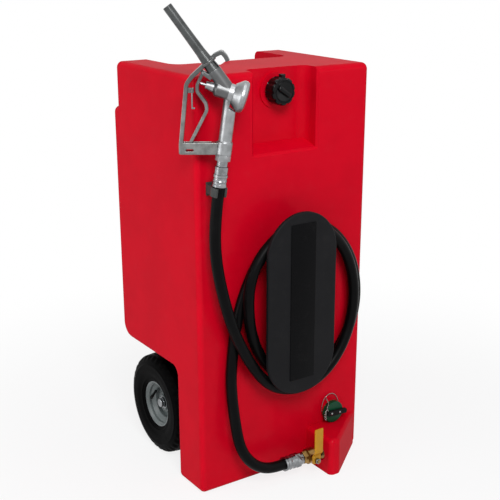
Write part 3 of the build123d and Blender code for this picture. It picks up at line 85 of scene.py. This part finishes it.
def add_camera():
    """The photograph's view of the caddy, from the front and a little to its left."""
    lens = bpy.data.cameras.new("camera")
    lens.lens = focal_length
    lens.sensor_width = sensor_width
    camera = bpy.data.objects.new("camera", lens)
    camera.location = camera_place
    angles = (90 - camera_down, camera_roll, camera_turn)
    camera.rotation_euler = [math.radians(angle) for angle in angles]
    bpy.context.scene.collection.objects.link(camera)
    bpy.context.scene.camera = camera


# Hose. The same points as the CAD's route, in metres from the tank's front face.

hose_diameter = 0.027
hose_exit = (-0.211889, -0.0421, 0.782072)
hose_lead_in = [
    (-0.217665, -0.038204, 0.730541),
    (-0.222, -0.037, 0.655),
    (-0.219, -0.040, 0.598),
    (-0.210, -0.044, 0.542),
    (-0.196, -0.046, 0.484),
    (-0.176, -0.046, 0.426),
    (-0.149, -0.046, 0.370),
    (-0.124, -0.046, 0.327),
    (-0.093, -0.046, 0.285),
    (-0.049, -0.046, 0.251),
]
hose_loop_corners = [
    (0.015, -0.046, 0.236),
    (0.184, -0.046, 0.450),
    (0.017, -0.046, 0.658),
    (-0.139, -0.046, 0.500),
    (0.050, -0.016, 0.250),
    (0.215, -0.016, 0.442),
    (0.034, -0.016, 0.655),
    (-0.168, -0.016, 0.310),
]
hose_lead_out = [
    (-0.167, -0.019, 0.250),
    (-0.166, -0.027, 0.203),
    (-0.165, -0.035, 0.169),
    (-0.163, -0.042, 0.138),
    (-0.153, -0.0485, 0.106),
    (-0.133, -0.053, 0.0775),
    (-0.105, -0.055, 0.057),
    (-0.0715, -0.055, 0.046),
    (-0.038, -0.055, 0.046),
]
loop_steps = 4


def loop_points():
    """Both turns of the loose loop, by quarter ellipses between their outermost points."""
    points = []
    upright_first = True
    for start, end in zip(hose_loop_corners, hose_loop_corners[1:]):
        for step in range(loop_steps):
            share = step / loop_steps
            rise = math.sin(share * math.pi / 2)
            fall = 1 - math.cos(share * math.pi / 2)
            across, along = (rise, fall) if upright_first else (fall, rise)
            x = start[0] + (end[0] - start[0]) * across
            z = start[2] + (end[2] - start[2]) * along
            points.append((x, start[1] + (end[1] - start[1]) * share, z))
        upright_first = not upright_first
    return points + [hose_loop_corners[-1]]


def in_frame(point):
    """A point in the CAD's frame, from one given from the tank's front face."""
    return Vector(point) + Vector((0, -half_foot, 0))


def add_hose():
    """The hose as one smooth line. Its thickness is each control point's radius."""
    line = bpy.data.curves.new("hose_line", "CURVE")
    line.dimensions = "3D"
    line.bevel_depth = 1.0
    line.bevel_resolution = 7
    line.resolution_u = 10
    line.use_fill_caps = True
    route = [hose_exit] + hose_lead_in + loop_points() + hose_lead_out
    spline = line.splines.new("NURBS")
    spline.points.add(len(route) - 1)
    for control, point in zip(spline.points, route):
        control.co = (*in_frame(point), 1)
        control.radius = hose_diameter / 2
    spline.order_u = 3
    spline.use_endpoint_u = True
    spline.use_smooth = True
    tube = bpy.data.objects.new("hose_line", line)
    bpy.context.scene.collection.objects.link(tube)
    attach(tube, "caddy")
    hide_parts("hose")
    return tube


# Materials. Sizes are in metres, and colours are linear.

moulded_cloud = 0.11
dust_size = 0.03
dust_share = 0.012
dust_colour = (0.45, 0.42, 0.4)
coat_polish = 0.8
metal_cloud = 0.02
speck_size = 0.0018
speck_share = 0.35
# painted shade: the colour and share of the darkening painted at the top of the nozzle body and
# guard
painted_shade_colour = (0.075, 0.077, 0.077)
painted_shade_share = 0.8
rubber_cloud = 0.05
bloom_share = 0.5


class Link:
    """A node's output. Arithmetic on it adds Math nodes."""

    def __init__(self, paint, socket):
        self.paint = paint
        self.socket = socket

    def maths(self, operation, first, second):
        return self.paint.node("ShaderNodeMath", {"operation": operation}, {0: first, 1: second})

    def __add__(self, other):
        return self.maths("ADD", self, other)

    def __radd__(self, other):
        return self.maths("ADD", other, self)

    def __sub__(self, other):
        return self.maths("SUBTRACT", self, other)

    def __mul__(self, other):
        return self.maths("MULTIPLY", self, other)

    def __rmul__(self, other):
        return self.maths("MULTIPLY", other, self)


class Paint:
    """One finish. node() adds any node, and set() joins a value or a link to the shader."""

    def __init__(self, name):
        self.material = bpy.data.materials.new(name)
        self.material.use_nodes = True
        self.tree = self.material.node_tree
        self.shader = self.tree.nodes["Principled BSDF"]
        self.place = self.node("ShaderNodeTexCoord", {}, {}, "Object")

    def put(self, socket, value):
        if isinstance(value, Link):
            self.tree.links.new(value.socket, socket)
        else:
            socket.default_value = value

    def node(self, kind, settings, inputs, output=0):
        made = self.tree.nodes.new(kind)
        for name, value in settings.items():
            setattr(made, name, value)
        for name, value in inputs.items():
            self.put(made.inputs[name], value)
        return Link(self, made.outputs[output])

    def set(self, **sockets):
        for name, value in sockets.items():
            self.put(self.shader.inputs[name.replace("_", " ")], value)

    def noise(self, size, detail=2.0, roughness=0.5):
        """A noise whose blotches are about size metres across, 0 to 1."""
        wanted = {"Vector": self.place, "Scale": 1 / size, "Detail": detail, "Roughness": roughness}
        return self.node("ShaderNodeTexNoise", {}, wanted)

    def step(self, value, low, high):
        """0 below low, 1 above high, smooth between."""
        wanted = {"Value": value, "From Min": low, "From Max": high}
        return self.node("ShaderNodeMapRange", {"interpolation_type": "SMOOTHSTEP"}, wanted)

    def blend(self, share, first, second):
        """Two colours mixed: a Mix node's colour sockets are 6, 7 and 2."""
        sides = [(*side, 1) if isinstance(side, tuple) else side for side in (first, second)]
        wanted = {0: share, 6: sides[0], 7: sides[1]}
        return self.node("ShaderNodeMix", {"data_type": "RGBA"}, wanted, 2)

    def relief(self, height, depth):
        """Bumps as deep as depth metres where height goes from 0 to 1."""
        wanted = {"Height": height, "Distance": depth, "Strength": 1.0}
        self.set(Normal=self.node("ShaderNodeBump", {}, wanted))


def moulded(name, colour, dull, rough, grain, grain_depth, shine, wave=0.0, wave_depth=0.0,
            gloss=0.0):
    """A moulded plastic: clouded colour, uneven sheen, a fine grain, and a thin gloss over it."""
    paint = Paint(name)
    cloud = paint.noise(moulded_cloud, 4.0, 0.6)
    fine = paint.noise(grain, 3.0, 0.6)
    dust = paint.step(paint.noise(dust_size, 5.0, 0.7), 0.5, 0.85)
    tone = paint.blend(paint.step(cloud, 0.35, 0.7), colour, dull)
    paint.set(Base_Color=paint.blend(dust * dust_share, tone, dust_colour))
    paint.set(Roughness=rough + 0.1 * (cloud - 0.5) + 0.08 * dust, Specular_IOR_Level=shine)
    paint.set(Coat_Weight=gloss, Coat_Roughness=coat_polish * rough)
    height = fine
    if wave:
        height = fine + (wave_depth / grain_depth) * paint.noise(wave, 1.0, 0.4)
    paint.relief(height, grain_depth)
    return paint


def metal(name, colour, dull, rough, grain, grain_depth, metallic=1.0, painted_shade_over=None):
    """A bare or plated metal: clouded tone, fine grain and a few dark specks.

    Given two heights, painted shade darkens the colour between them and stays dark above.
    """
    paint = Paint(name)
    cloud = paint.noise(metal_cloud, 4.0, 0.6)
    fine = paint.noise(grain, 3.0, 0.65)
    specks = paint.step(paint.noise(speck_size), 0.66, 0.74)
    tone = paint.blend(paint.step(cloud, 0.3, 0.75), colour, dull)
    # painted shade: above the given heights the colour is darkened, for the parts that face away
    # from the light
    if painted_shade_over:
        height = paint.node("ShaderNodeSeparateXYZ", {}, {0: paint.place}, "Z")
        shade = paint.step(height, *painted_shade_over)
        tone = paint.blend(shade * painted_shade_share, tone, painted_shade_colour)
    speck_colour = tuple(speck_share * part for part in dull)
    paint.set(Base_Color=paint.blend(specks * speck_share, tone, speck_colour))
    paint.set(Metallic=metallic, Roughness=rough + 0.12 * (cloud - 0.5) + 0.1 * (fine - 0.5))
    paint.relief(fine, grain_depth)
    return paint


def rubber(name, colour, dusty, rough, grain, grain_depth, shine):
    """Black rubber with a dry bloom in places."""
    paint = Paint(name)
    cloud = paint.noise(rubber_cloud, 4.0, 0.65)
    fine = paint.noise(grain, 3.0, 0.6)
    bloom = paint.step(cloud, 0.42, 0.8)
    paint.set(Base_Color=paint.blend(bloom * bloom_share, colour, dusty), Specular_IOR_Level=shine)
    paint.set(Roughness=rough + 0.12 * bloom + 0.06 * (fine - 0.5))
    paint.relief(fine, grain_depth)
    return paint


def make_finishes():
    """Every finish, by the name it is used under."""
    finishes = {
        "tank": moulded("tank_plastic", (0.62, 0.001, 0.014), (0.57, 0.001, 0.013), 0.36,
                        0.0016, 0.00005, 0.0, 0.09, 0.0006, gloss=0.13),
        "cap": moulded("cap_plastic", (0.0025, 0.0025, 0.003), (0.0035, 0.0035, 0.004), 0.12,
                       0.0008, 0.00002, 0.16),
        "clip": moulded("clip_plastic", (0.032, 0.034, 0.033), (0.05, 0.052, 0.05), 0.4,
                        0.0006, 0.00004, 0.2),
        "plate": moulded("plate_plastic", (0.006, 0.006, 0.007), (0.008, 0.008, 0.009), 0.5,
                         0.0007, 0.00009, 0.09),
        "strip": moulded("strip_gloss", (0.0015, 0.0015, 0.002), (0.002, 0.002, 0.0025), 0.2,
                         0.004, 0.00001, 0.06),
        "green": moulded("green_plastic", (0.002, 0.055, 0.022), (0.003, 0.04, 0.017), 0.32,
                         0.0007, 0.00005, 0.16),
        "lever": moulded("lever_coating", (0.6, 0.3, 0.004), (0.46, 0.22, 0.006), 0.3,
                         0.0012, 0.00008, 0.25),
        "rim": moulded("rim_paint", (0.13, 0.15, 0.15), (0.09, 0.105, 0.105), 0.34,
                       0.0015, 0.00005, 0.35),
        "cast": metal("cast_aluminium", (0.34, 0.35, 0.36), (0.22, 0.225, 0.23), 0.36,
                      0.0011, 0.00012, metallic=0.9),
        # painted shade: the nozzle body is the cast aluminium again, darkened above 0.945 m where
        # its neck faces away from the light
        "body": metal("nozzle_aluminium_painted_shade", (0.34, 0.35, 0.36), (0.22, 0.225, 0.23), 0.36,
                      0.0011, 0.00012, metallic=0.9, painted_shade_over=(0.945, 0.985)),
        # painted shade: the guard and trigger are a darker copy of the cast aluminium, also
        # darkened at the top, for sides that face away from the light
        "guard": metal("guard_aluminium_painted_shade", (0.26, 0.265, 0.26), (0.14, 0.143, 0.14), 0.34,
                       0.0011, 0.0001, metallic=0.9, painted_shade_over=(0.93, 1.02)),
        "spout": metal("drawn_aluminium", (0.095, 0.1, 0.1), (0.06, 0.063, 0.063), 0.28,
                       0.0012, 0.00005, metallic=0.9),
        "plated": metal("plated_steel", (0.3, 0.31, 0.32), (0.16, 0.17, 0.175), 0.22,
                        0.0007, 0.00003),
        "dark": metal("dark_steel", (0.05, 0.05, 0.055), (0.03, 0.03, 0.033), 0.4,
                      0.001, 0.00004),
        "brass": metal("brass", (0.36, 0.22, 0.07), (0.19, 0.11, 0.04), 0.3,
                       0.0011, 0.00006),
        "wire": metal("steel_wire", (0.32, 0.31, 0.3), (0.2, 0.19, 0.185), 0.22,
                      0.0006, 0.00002),
        "hose": rubber("hose_rubber", (0.002, 0.002, 0.0022), (0.005, 0.005, 0.0052), 0.36,
                       0.0012, 0.00004, 0.06),
        "seal": rubber("seal_rubber", (0.004, 0.004, 0.004), (0.01, 0.01, 0.01), 0.6,
                       0.0008, 0.00004, 0.1),
        "tyre": rubber("tyre_rubber", (0.0009, 0.0009, 0.001), (0.0022, 0.0022, 0.0022), 0.45,
                       0.0009, 0.00007, 0.015),
    }
    return {name: paint.material for name, paint in finishes.items()}


node_finishes = {
    "tank": ["tank_shell", "filler_neck"],
    "cap": ["filler_cap"],
    "clip": ["hose_clip"],
    "plate": ["hanger_plate", "hanger_hub"],
    "strip": ["hanger_strip"],
    "green": ["sump_cap"],
    "lever": ["valve_lever"],
    "rim": ["left_rim", "right_rim"],
    "cast": ["nozzle_rear_cap", "nozzle_ring", "nozzle_bushing", "packing_nut"],
    "body": ["nozzle_body"],
    "guard": ["trigger_guard", "trigger"],
    "spout": ["spout"],
    "plated": ["hose_top_ferrule", "hose_bottom_ferrule", "hose_bottom_nut", "nozzle_swivel",
               "valve_nipple", "valve_lever_nut", "valve_ball", "sump_cap_screws", "axle",
               "axle_washers", "axle_caps", "nozzle_stem", "trigger_pin", "latch_pin", "latch",
               "poppet_spring", "left_bearings", "right_bearings"],
    "dark": ["grip_bar", "hanger_bolts", "clip_screws", "axle_spacers"],
    "brass": ["valve_end", "valve_body", "valve_stem", "nozzle_poppet", "sump_fitting",
              "hanger_inserts"],
    "wire": ["tether_ring", "tether_chain"],
    "seal": ["cap_seal", "sump_cap_seal", "sump_cap_bar", "valve_seat",
             "left_tyre_valve", "right_tyre_valve"],
    "tyre": ["left_tyre", "right_tyre"],
}


def dress_nodes(finishes):
    """Gives every CAD node its finish."""
    for finish, names in node_finishes.items():
        for name in names:
            for holder in nodes[name].material_slots:
                holder.material = finishes[finish]


# Pieces modelled here. Sizes are in millimetres from here to the stage, apart from the weld
# reaches and the grains and widths of the copies, which are in metres.

weld_reach = 0.000002
spin_weld_reach = 0.00001
flat_angle = math.radians(1.5)
sharp_angle = math.radians(32)
crease_angle = math.radians(40)


def finish_piece(piece, finish, body, slot, *replaced):
    """Settles a finished piece: its finish, the body it moves with and the nodes it stands for."""
    piece.data.materials.clear()
    piece.data.materials.append(finish)
    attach(piece, body)
    if replaced:
        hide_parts(*replaced)
    bpy.ops.object.select_all(action="DESELECT")


def copy_of(node, name):
    """A copy of a CAD node's mesh to work on, with its split corners joined."""
    piece = nodes[node].copy()
    piece.data = nodes[node].data.copy()
    piece.name = name
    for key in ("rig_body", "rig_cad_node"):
        del piece[key]
    piece.parent = None
    bpy.context.scene.collection.objects.link(piece)
    bpy.ops.object.select_all(action="DESELECT")
    piece.select_set(True)
    bpy.context.view_layer.objects.active = piece
    bpy.ops.object.mode_set(mode="EDIT")
    bpy.ops.mesh.select_all(action="SELECT")
    bpy.ops.mesh.remove_doubles(threshold=weld_reach)
    return piece


def softened(node, name, grain, rounds):
    """A copy of a cast node with its corners rounded off, as a mould leaves them."""
    piece = copy_of(node, name)
    bpy.ops.object.mode_set(mode="OBJECT")
    skin = piece.modifiers.new("skin", "REMESH")
    skin.mode = "VOXEL"
    skin.voxel_size = grain
    bpy.ops.object.modifier_apply(modifier=skin.name)
    relax = piece.modifiers.new("relax", "SMOOTH")
    relax.factor = 0.5
    relax.iterations = rounds
    bpy.ops.object.modifier_apply(modifier=relax.name)
    bpy.ops.object.shade_smooth()
    return piece


def edged(node, name, width):
    """A copy of a crisp node with a small round on every sharp edge."""
    piece = copy_of(node, name)
    bpy.ops.mesh.dissolve_limited(angle_limit=flat_angle)
    bpy.ops.object.mode_set(mode="OBJECT")
    round_off = piece.modifiers.new("round_off", "BEVEL")
    round_off.width = width
    round_off.segments = 3
    round_off.limit_method = "ANGLE"
    round_off.angle_limit = sharp_angle
    bpy.ops.object.modifier_apply(modifier=round_off.name)
    bpy.ops.object.shade_smooth_by_angle(angle=crease_angle)
    return piece


def spun(name, section, steps, axis):
    """A section of (along, out) pairs, spun once round an axis through the origin."""
    bpy.ops.mesh.primitive_circle_add(vertices=len(section), radius=0.01)
    piece = bpy.context.object
    piece.name = name
    for vertex, (along, out) in zip(piece.data.vertices, section):
        vertex.co = Vector(axis) * along * mm + Vector((0, 0, out * mm))
    bpy.ops.object.mode_set(mode="EDIT")
    bpy.ops.mesh.select_all(action="SELECT")
    bpy.ops.mesh.spin(steps=steps, angle=full_turn, center=(0, 0, 0), axis=axis)
    bpy.ops.mesh.select_all(action="SELECT")
    bpy.ops.mesh.remove_doubles(threshold=spin_weld_reach)
    bpy.ops.mesh.normals_make_consistent(inside=False)
    bpy.ops.object.mode_set(mode="OBJECT")
    return piece


def moved_to(piece, place):
    """Shifts a piece's mesh by a place in metres, and leaves its own origin at the frame's."""
    piece.data.transform(Matrix.Translation(place))


def block(name, size, round_width):
    """A box with every edge rounded."""
    bpy.ops.mesh.primitive_cube_add(size=1)
    piece = bpy.context.object
    piece.name = name
    bpy.ops.object.mode_set(mode="EDIT")
    bpy.ops.mesh.select_all(action="SELECT")
    bpy.ops.transform.resize(value=tuple(length * mm for length in size))
    bpy.ops.mesh.bevel(offset=round_width * mm, segments=4, affect="EDGES")
    bpy.ops.object.mode_set(mode="OBJECT")
    return piece


def joined(pieces):
    """Pieces made into one, which keeps the first one's name."""
    bpy.ops.object.select_all(action="DESELECT")
    for piece in pieces:
        piece.select_set(True)
    bpy.context.view_layer.objects.active = pieces[0]
    bpy.ops.object.join()
    return pieces[0]


tyre_steps = 144
tread_lug_steps = 4
lug_depth = 2.6
zigzag = 1.3


def tyre_section():
    """The tyre's section as (across, radius, part), once round."""
    outer = [
        (-24, 57.5, "bead"), (-31, 57.5, "bead"), (-33.5, 61.5, "bead"), (-36, 64.5, "wall"),
        (-37.5, 69, "wall"), (-38.9, 70, "wall"), (-39.6, 73, "wall"), (-39.3, 75, "wall"),
        (-41.6, 82, "wall"), (-42.6, 90, "wall"), (-43, 97, "wall"), (-42.8, 104, "wall"),
        (-43, 105, "wall"), (-42.9, 107.5, "wall"), (-42.2, 108.3, "wall"), (-41, 114, "wall"),
        (-39.4, 119, "wall"), (-37.2, 123.2, "lug"), (-34.2, 126.9, "lug"), (-31, 129, "lug"),
    ]
    tread = [
        (-28, 130.4, "rib"), (-19.6, 131.4, "edge"), (-18.8, 127.4, "edge"),
        (-15.2, 127.4, "edge"), (-14.4, 131.8, "edge"), (-8.4, 132.3, "rib"),
        (-2.6, 132.5, "edge"), (-1.8, 128.3, "edge"),
    ]
    left = outer + tread
    right = [(-across, radius, part) for across, radius, part in reversed(left)]
    inner = [
        (24, 62, "bore"), (33, 72, "bore"), (36, 95, "bore"), (32, 116, "bore"),
        (18, 123, "bore"), (0, 123.5, "bore"), (-18, 123, "bore"), (-32, 116, "bore"),
        (-36, 95, "bore"), (-33, 72, "bore"), (-24, 62, "bore"),
    ]
    return left + right + inner


def add_tyre(side, finish):
    """A ribbed pneumatic tyre, with zigzag grooves and shoulder lugs."""
    section = tyre_section()
    profile = [(across, radius) for across, radius, part in section]
    tyre = spun(f"{side}_tyre_tread", profile, tyre_steps, (1, 0, 0))
    parts = {(round(across, 1), round(radius, 1)): part for across, radius, part in section}
    for vertex in tyre.data.vertices:
        place = vertex.co
        radius = math.hypot(place.y, place.z)
        part = parts.get((round(place.x / mm, 1), round(radius / mm, 1)), "")
        turn = round(math.atan2(place.y, place.z) / full_turn * tyre_steps)
        if part == "edge":
            place.x += zigzag * mm * (1 if turn // 2 % 2 else -1)
        if part == "lug" and turn % tread_lug_steps < 2:
            lower = (radius - lug_depth * mm) / radius
            place.y *= lower
            place.z *= lower
    low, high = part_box(f"{side}_tyre")
    moved_to(tyre, (low + high) / 2)
    bpy.ops.object.shade_smooth_by_angle(angle=sharp_angle)
    finish_piece(tyre, finish, f"{side}_wheel", "tyre", f"{side}_tyre")


cap_radius = 33.0
cap_steps = 160
cap_lobes = 10
cap_lobe_depth = 2.5
cap_lobe_from = 30.5
cap_front = 8.1
cap_back = 39.5
cap_back_round = 0.5
cap_height = 968.0
cap_grip_size = (39, 11, 11.5)
cap_grip_round = 3.2
cap_grip_sunk = 0.6
cap_grip_turn = math.radians(35)
cap_tab_size = (11, 14, 9)
cap_tab_round = 1.6
cap_tab_place = Vector((0, 18, 35.5))
cap_crease_angle = math.radians(35)


def add_filler_cap(finish):
    """The filler cap: a scalloped skirt, a ringed and dished face, a raised grip and a tab."""
    section = [
        (14.1, 0), (14.1, 27.6), (cap_back, 27.6), (cap_back, 32), (cap_back - 1, cap_radius),
        (34, cap_radius), (28, cap_radius), (22, cap_radius), (16, cap_radius), (12.5, cap_radius),
        (10.4, 32.3), (8.9, 31), (cap_front, 28.8), (cap_front, 26.4), (9.4, 25.4),
        (9.4, 23.6), (cap_front, 22.6), (cap_front, 20.8), (9, 16), (9.6, 10), (9.9, 5), (10, 0),
    ]
    cap = spun("filler_cap_top", section, cap_steps, (0, 1, 0))
    for vertex in cap.data.vertices:
        place = vertex.co
        radius = math.hypot(place.x, place.z)
        if radius > cap_lobe_from * mm and place.y < (cap_back - cap_back_round) * mm:
            turn = math.atan2(place.x, place.z) * cap_lobes
            scallop = max(0, (-math.cos(turn) - 0.1) / 0.9)
            inward = (radius - cap_lobe_depth * mm * scallop) / radius
            place.x *= inward
            place.z *= inward
    grip = block("cap_grip", cap_grip_size, cap_grip_round)
    moved_to(grip, (0, (cap_front - cap_grip_sunk) * mm, 0))
    grip.data.transform(Matrix.Rotation(cap_grip_turn, 4, "Y"))
    tab = block("cap_tab", cap_tab_size, cap_tab_round)
    moved_to(tab, cap_tab_place * mm)
    cap = joined([cap, grip, tab])
    moved_to(cap, Vector((0, -half_foot, cap_height * mm)))
    bpy.ops.object.shade_smooth_by_angle(angle=cap_crease_angle)
    finish_piece(cap, finish, "filler_cap", "cap_plastic", "filler_cap")


bead_radius = 1.4
bead_pitch = 3.0
bead_link_radius = 0.4
chain_turns = [
    (131.5, -4.9, 165.8), (126.5, -24.6, 157.0), (121.7, -25.5, 147.0), (118.9, -25.5, 135.0),
    (118.0, -25.5, 124.0), (119.6, -25.5, 115.0), (117.0, -25.9, 112.0), (114.6, -25.5, 118.0),
    (114.9, -25.5, 128.0), (117.0, -25.5, 138.0), (121.0, -27.6, 143.0), (122.6, -28.6, 136.0),
]


def add_bead_chain(finish):
    """The ball chain of the sump cap, doubled back on itself at the cap's left edge."""
    turns = [Vector(turn) * mm + Vector((0, -half_foot, 0)) for turn in chain_turns]
    places = []
    carried = 0.0
    for start, end in zip(turns, turns[1:]):
        run = (end - start).length
        while carried < run:
            places.append(start + (end - start) * (carried / run))
            carried += bead_pitch * mm
        carried -= run
    bpy.ops.mesh.primitive_uv_sphere_add(segments=16, ring_count=10, radius=bead_radius * mm)
    first = bpy.context.object
    first.name = "tether_beads"
    beads = [first]
    for place in places[1:]:
        bead = first.copy()
        bead.data = first.data.copy()
        bpy.context.scene.collection.objects.link(bead)
        moved_to(bead, place)
        beads.append(bead)
    moved_to(first, places[0])
    links = []
    for start, end in zip(places, places[1:]):
        run = end - start
        thickness = bead_link_radius * mm
        bpy.ops.mesh.primitive_cylinder_add(vertices=8, radius=thickness, depth=run.length)
        link = bpy.context.object
        link.data.transform(run.to_track_quat("Z", "Y").to_matrix().to_4x4())
        moved_to(link, (start + end) / 2)
        links.append(link)
    chain = joined(beads + links)
    bpy.ops.object.shade_smooth()
    finish_piece(chain, finish, "caddy", "wire", "tether_chain")


# Stage. Sizes are in metres.

floor_radius = 14
floor_colour = (0.86, 0.86, 0.87, 1)
floor_glow = 0.82  # the floor's own white under the object; the rest keeps its shadow
floor_glow_from = 0.5
floor_glow_to = 1.6
room_colour = (0.95, 0.97, 1, 1)
room_strength = 0.21
white = (1, 1, 1, 1)
seen_rays = ("Is Camera Ray", "Is Glossy Ray", "Is Transmission Ray")
lamp_aim = Vector((0, 0.1, 0.55))
lamps = [
    ("key", (-1.3, -2.7, 2.9), 1.3, 92),
    ("fill", (2.4, -2.4, 1.6), 2.0, 8),
    ("side", (-3.0, 0.3, 1.3), 1.6, 29),
    ("top", (0.0, -0.4, 3.4), 1.6, 17),
    ("back", (1.8, 2.6, 0.9), 1.6, 8),
]


def add_floor():
    """A pale floor that keeps a soft shadow and fades to white further out."""
    bpy.ops.mesh.primitive_circle_add(vertices=96, radius=floor_radius, fill_type="NGON")
    floor = bpy.context.object
    floor.name = "floor"
    paint = Paint("floor_paper")
    tree = paint.tree
    paint.set(Base_Color=floor_colour, Roughness=0.9)
    reach = paint.node("ShaderNodeVectorMath", {"operation": "LENGTH"}, {0: paint.place}, "Value")
    rays = [paint.node("ShaderNodeLightPath", {}, {}, kind) for kind in seen_rays]
    glow = tree.nodes.new("ShaderNodeEmission")
    glow.inputs["Color"].default_value = white
    mixed = tree.nodes.new("ShaderNodeMixShader")
    fade = floor_glow + (1 - floor_glow) * paint.step(reach, floor_glow_from, floor_glow_to)
    tree.links.new((fade * (rays[0] + rays[1] + rays[2])).socket, mixed.inputs[0])
    tree.links.new(paint.shader.outputs[0], mixed.inputs[1])
    tree.links.new(glow.outputs[0], mixed.inputs[2])
    tree.links.new(mixed.outputs[0], tree.nodes["Material Output"].inputs["Surface"])
    floor.data.materials.append(paint.material)


def add_room():
    """Soft light from all round, which camera, gloss and glass see as plain white."""
    world = bpy.data.worlds.new("studio")
    bpy.context.scene.world = world
    world.use_nodes = True
    tree = world.node_tree
    room = tree.nodes["Background"]
    room.inputs["Color"].default_value = room_colour
    room.inputs["Strength"].default_value = room_strength
    rays = tree.nodes.new("ShaderNodeLightPath")
    seen = rays.outputs[seen_rays[0]]
    for also in seen_rays[1:]:
        either = tree.nodes.new("ShaderNodeMath")
        either.operation = "MAXIMUM"
        tree.links.new(seen, either.inputs[0])
        tree.links.new(rays.outputs[also], either.inputs[1])
        seen = either.outputs[0]
    backdrop = tree.nodes.new("ShaderNodeBackground")
    backdrop.inputs["Color"].default_value = white
    mixed = tree.nodes.new("ShaderNodeMixShader")
    tree.links.new(seen, mixed.inputs[0])
    tree.links.new(room.outputs[0], mixed.inputs[1])
    tree.links.new(backdrop.outputs[0], mixed.inputs[2])
    tree.links.new(mixed.outputs[0], tree.nodes["World Output"].inputs["Surface"])


def add_lamps():
    """Soft square lamps, each turned to the middle of the caddy."""
    for name, place, size, power in lamps:
        lamp = bpy.data.lights.new(name, "AREA")
        lamp.size = size
        lamp.energy = power
        holder = bpy.data.objects.new(name, lamp)
        holder.location = place
        toward = lamp_aim - Vector(place)
        holder.rotation_euler = toward.to_track_quat("-Z", "Y").to_euler()
        bpy.context.scene.collection.objects.link(holder)


bpy.context.scene.view_settings.view_transform = "Standard"
add_camera()
hose_line = add_hose()
finishes = make_finishes()
hose_line.data.materials.append(finishes["hose"])
dress_nodes(finishes)

for side in ("left", "right"):
    add_tyre(side, finishes["tyre"])
add_filler_cap(finishes["cap"])
add_bead_chain(finishes["wire"])

castings = [
    ("nozzle_body", "nozzle_casting", 0.0011, 7, "nozzle", "body"),
    ("nozzle_rear_cap", "rear_cap_casting", 0.0010, 4, "nozzle", "cast"),
    ("trigger_guard", "guard_casting", 0.0010, 4, "nozzle", "guard"),
    ("trigger", "trigger_casting", 0.0008, 3, "trigger", "guard"),
]
for node, name, grain, rounds, body, finish in castings:
    casting = softened(node, name, grain, rounds)
    finish_piece(casting, finishes[finish], body, "cast_aluminium", node)

rounded_off = [
    ("valve_lever", "lever_blade", 0.0008, "lever", "valve_lever", "lever_paint"),
    ("valve_lever_nut", "lever_nut", 0.0005, "plated", "valve_lever", "plated_steel"),
    ("nozzle_bushing", "bushing_hex", 0.0006, "cast", "nozzle", "cast_aluminium"),
    ("hose_bottom_nut", "union_nut", 0.0007, "plated", "caddy", "plated_steel"),
    ("valve_end", "valve_hex", 0.0008, "brass", "caddy", "brass"),
    ("sump_cap_bar", "cap_bar", 0.0012, "seal", "sump_cap", "cap_plastic"),
    ("sump_cap", "sump_disc", 0.0005, "green", "sump_cap", "green_plastic"),
    ("hose_clip", "clip_jaws", 0.0009, "clip", "caddy", "cap_plastic"),
    ("hanger_strip", "gloss_strip", 0.0006, "strip", "caddy", "strip"),
    ("latch", "latch_hook", 0.0005, "plated", "latch", "plated_steel"),
    ("packing_nut", "packing_hex", 0.0005, "cast", "nozzle", "cast_aluminium"),
]
for node, name, width, finish, body, slot in rounded_off:
    finish_piece(edged(node, name, width), finishes[finish], body, slot, node)

add_floor()
add_room()
add_lamps()
